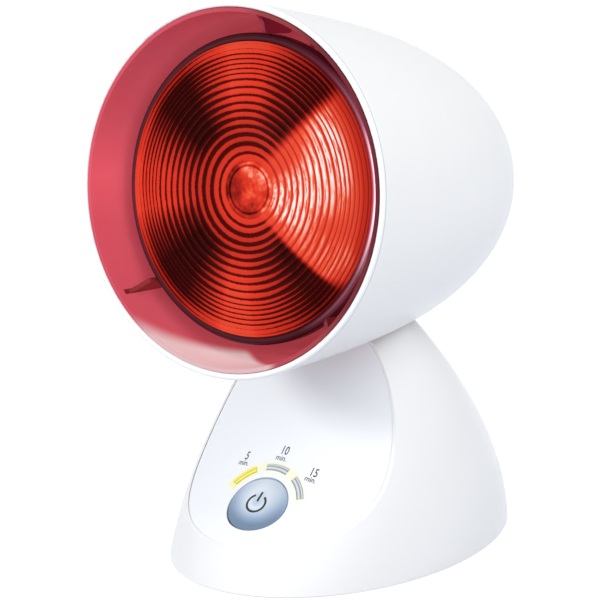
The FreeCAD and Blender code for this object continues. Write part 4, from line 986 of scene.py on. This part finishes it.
def text_mesh(words, size, centre, width, boldness):
    """Flat letters in mm, centred on a point of the panel."""
    curve = bpy.data.curves.new("letters", "FONT")
    curve.body = words
    curve.size = size
    curve.align_x = "CENTER"
    curve.align_y = "CENTER"
    curve.offset = boldness
    curve.resolution_u = 4
    letters = bpy.data.objects.new("letters", curve)
    scene.collection.objects.link(letters)
    bpy.context.view_layer.update()
    mesh = bpy.data.meshes.new_from_object(letters.evaluated_get(
        bpy.context.evaluated_depsgraph_get()))
    bpy.data.objects.remove(letters)
    mesh.transform(Matrix.Translation((*centre, 0)) @ Matrix.Diagonal((width, 1, 1, 1)))
    return mesh


for words, x, y, drop in (("5", -17.3, 20.4, 3.2), ("10", -0.6, 25.8, 3.4),
                          ("15", 16.4, 20.2, 3.2)):
    number = text_mesh(words, NUMBER_SIZE, (x, y), width=0.74, boldness=0.05)
    print_on("print_number_" + words, number, fascia_surface, "base")
    unit = text_mesh("min.", UNIT_SIZE, (x - 0.1, y - drop), width=0.94,
                     boldness=0.035)
    print_on("print_unit_" + words, unit, fascia_surface, "base")

# %% [markdown]
# ## The power sign
# The sign is a broken ring with an upright bar.  A short edge is spun for the ring, and the bar
# is one face; both are laid on as the numbers are.


# %% Power sign
def power_sign(radius, line, gap_degrees, bar_low, bar_high):
    """A broken ring with an upright bar, in mm on the panel's plane."""
    bm = bmesh.new()
    start = math.radians(90 + gap_degrees / 2)
    direction = Vector((math.cos(start), math.sin(start), 0))
    ends = [bm.verts.new(direction * (radius + side * line / 2)) for side in (-1, 1)]
    bm.edges.new(ends)
    bmesh.ops.spin(bm, geom=bm.verts[:] + bm.edges[:], cent=(0, 0, 0), axis=(0, 0, 1),
                   dvec=(0, 0, 0), angle=math.radians(360 - gap_degrees), steps=40)
    corners = ((-line / 2, bar_low), (line / 2, bar_low), (line / 2, bar_high),
               (-line / 2, bar_high))
    bm.faces.new([bm.verts.new((x, y, 0)) for x, y in corners])
    mesh = bpy.data.meshes.new("sign")
    bm.to_mesh(mesh)
    bm.free()
    return mesh


sign = print_on("print_power_sign", power_sign(
    radius=4.05, line=0.95, gap_degrees=62, bar_low=0.9, bar_high=5.6), button_surface, "button")
print("sign faces:", len(sign.data.polygons))

# %% [markdown]
# ## The floor
# The lamp stands on pale paper.  To the camera, and in gloss, the paper is lifted to white by a
# light of its own; the lamp itself is lit only by the paper's plain colour, and the paper still
# darkens where the lamp keeps the light away.

# %% Floor
FLOOR_GLOW = 0.6
FLOOR_REACH = 6.0           # metres to each side

floor_mesh = bpy.data.meshes.new("floor")
bm = bmesh.new()
bmesh.ops.create_grid(bm, x_segments=1, y_segments=1, size=FLOOR_REACH)
bm.to_mesh(floor_mesh)
bm.free()
floor = bpy.data.objects.new("floor", floor_mesh)
scene.collection.objects.link(floor)


def seen_ray(tree):
    """1 for the rays that show a background: from the camera, in gloss and through glass."""
    rays = add(tree, "LightPath").outputs
    indirect = add(tree, "Math", (rays["Is Glossy Ray"], rays["Is Transmission Ray"]),
                   operation="MAXIMUM")
    return add(tree, "Math", (rays["Is Camera Ray"], indirect), operation="MAXIMUM")


# studio paper: no gloss, a faint tooth
floor_paper, tree, shader = new_finish("grey_white_paper", "#C6CAD2", 0.9)
grain(tree, shader, 2.0, 0.02)
strength = add(tree, "Math", (seen_ray(tree), FLOOR_GLOW), operation="MULTIPLY")
white = add(tree, "Emission", {"Color": "#FFFFFF", "Strength": strength})
feed(tree.nodes["Material Output"], {"Surface": add(tree, "AddShader", (shader, white))})
floor_mesh.materials.append(floor_paper)
print("floor finish:", floor_paper.name)

# %% [markdown]
# ## The studio
# A large pale room gives most of the light.  It is a little blue, as daylight in a white room
# is, and pure white where it is seen.

# %% World
ROOM_LIGHT = 0.61

world = bpy.data.worlds.new("studio")
scene.world = world
world.use_nodes = True
tree = world.node_tree
seen = seen_ray(tree)
feed(tree.nodes["Background"], {
    "Color": add(tree, "Mix", {BY: seen, FROM: "#E9EEF8", TO: "#FFFFFF"}, data_type="RGBA"),
    "Strength": add(tree, "MapRange", {"Value": seen, "To Min": ROOM_LIGHT, "To Max": 1.0})})
scene.view_settings.view_transform = "Standard"
print("room light:", ROOM_LIGHT)

# %% [markdown]
# ## Lamps
# A small soft light from the front left makes the head's shadow on the panel.  Two wide ones
# from the right keep the housing bright, and a weak one from above rounds its top.  They are
# kept out of the gloss, because the pale room is what a polished white should mirror.

# %% Lamps
LAMP_DISTANCE = 1.3
LAMP_AIM = Vector((0, 0, 0.12))


def soft_light(name, turn, rise, size, power):
    """A square area light that faces the lamp from a direction around it."""
    data = bpy.data.lights.new(name, "AREA")
    data.size = size
    data.energy = power
    data.color = colour("#FFFCF8")[:3]
    light = bpy.data.objects.new(name, data)
    turn, rise = math.radians(turn), math.radians(rise)
    direction = Vector((math.sin(turn) * math.cos(rise), -math.cos(turn) * math.cos(rise),
                        math.sin(rise)))
    light.location = LAMP_AIM + direction * LAMP_DISTANCE
    light.rotation_mode = "QUATERNION"
    light.rotation_quaternion = direction.to_track_quat("Z", "Y")
    light.visible_glossy = False
    scene.collection.objects.link(light)


soft_light("front_left", turn=-27, rise=23, size=0.26, power=5.8)
soft_light("front_right", turn=46, rise=22, size=0.9, power=4.4)
soft_light("right_high", turn=85, rise=50, size=0.9, power=5.6)
soft_light("above", turn=0, rise=80, size=0.9, power=1.2)
print("lamps:", [light.name for light in bpy.data.lights])
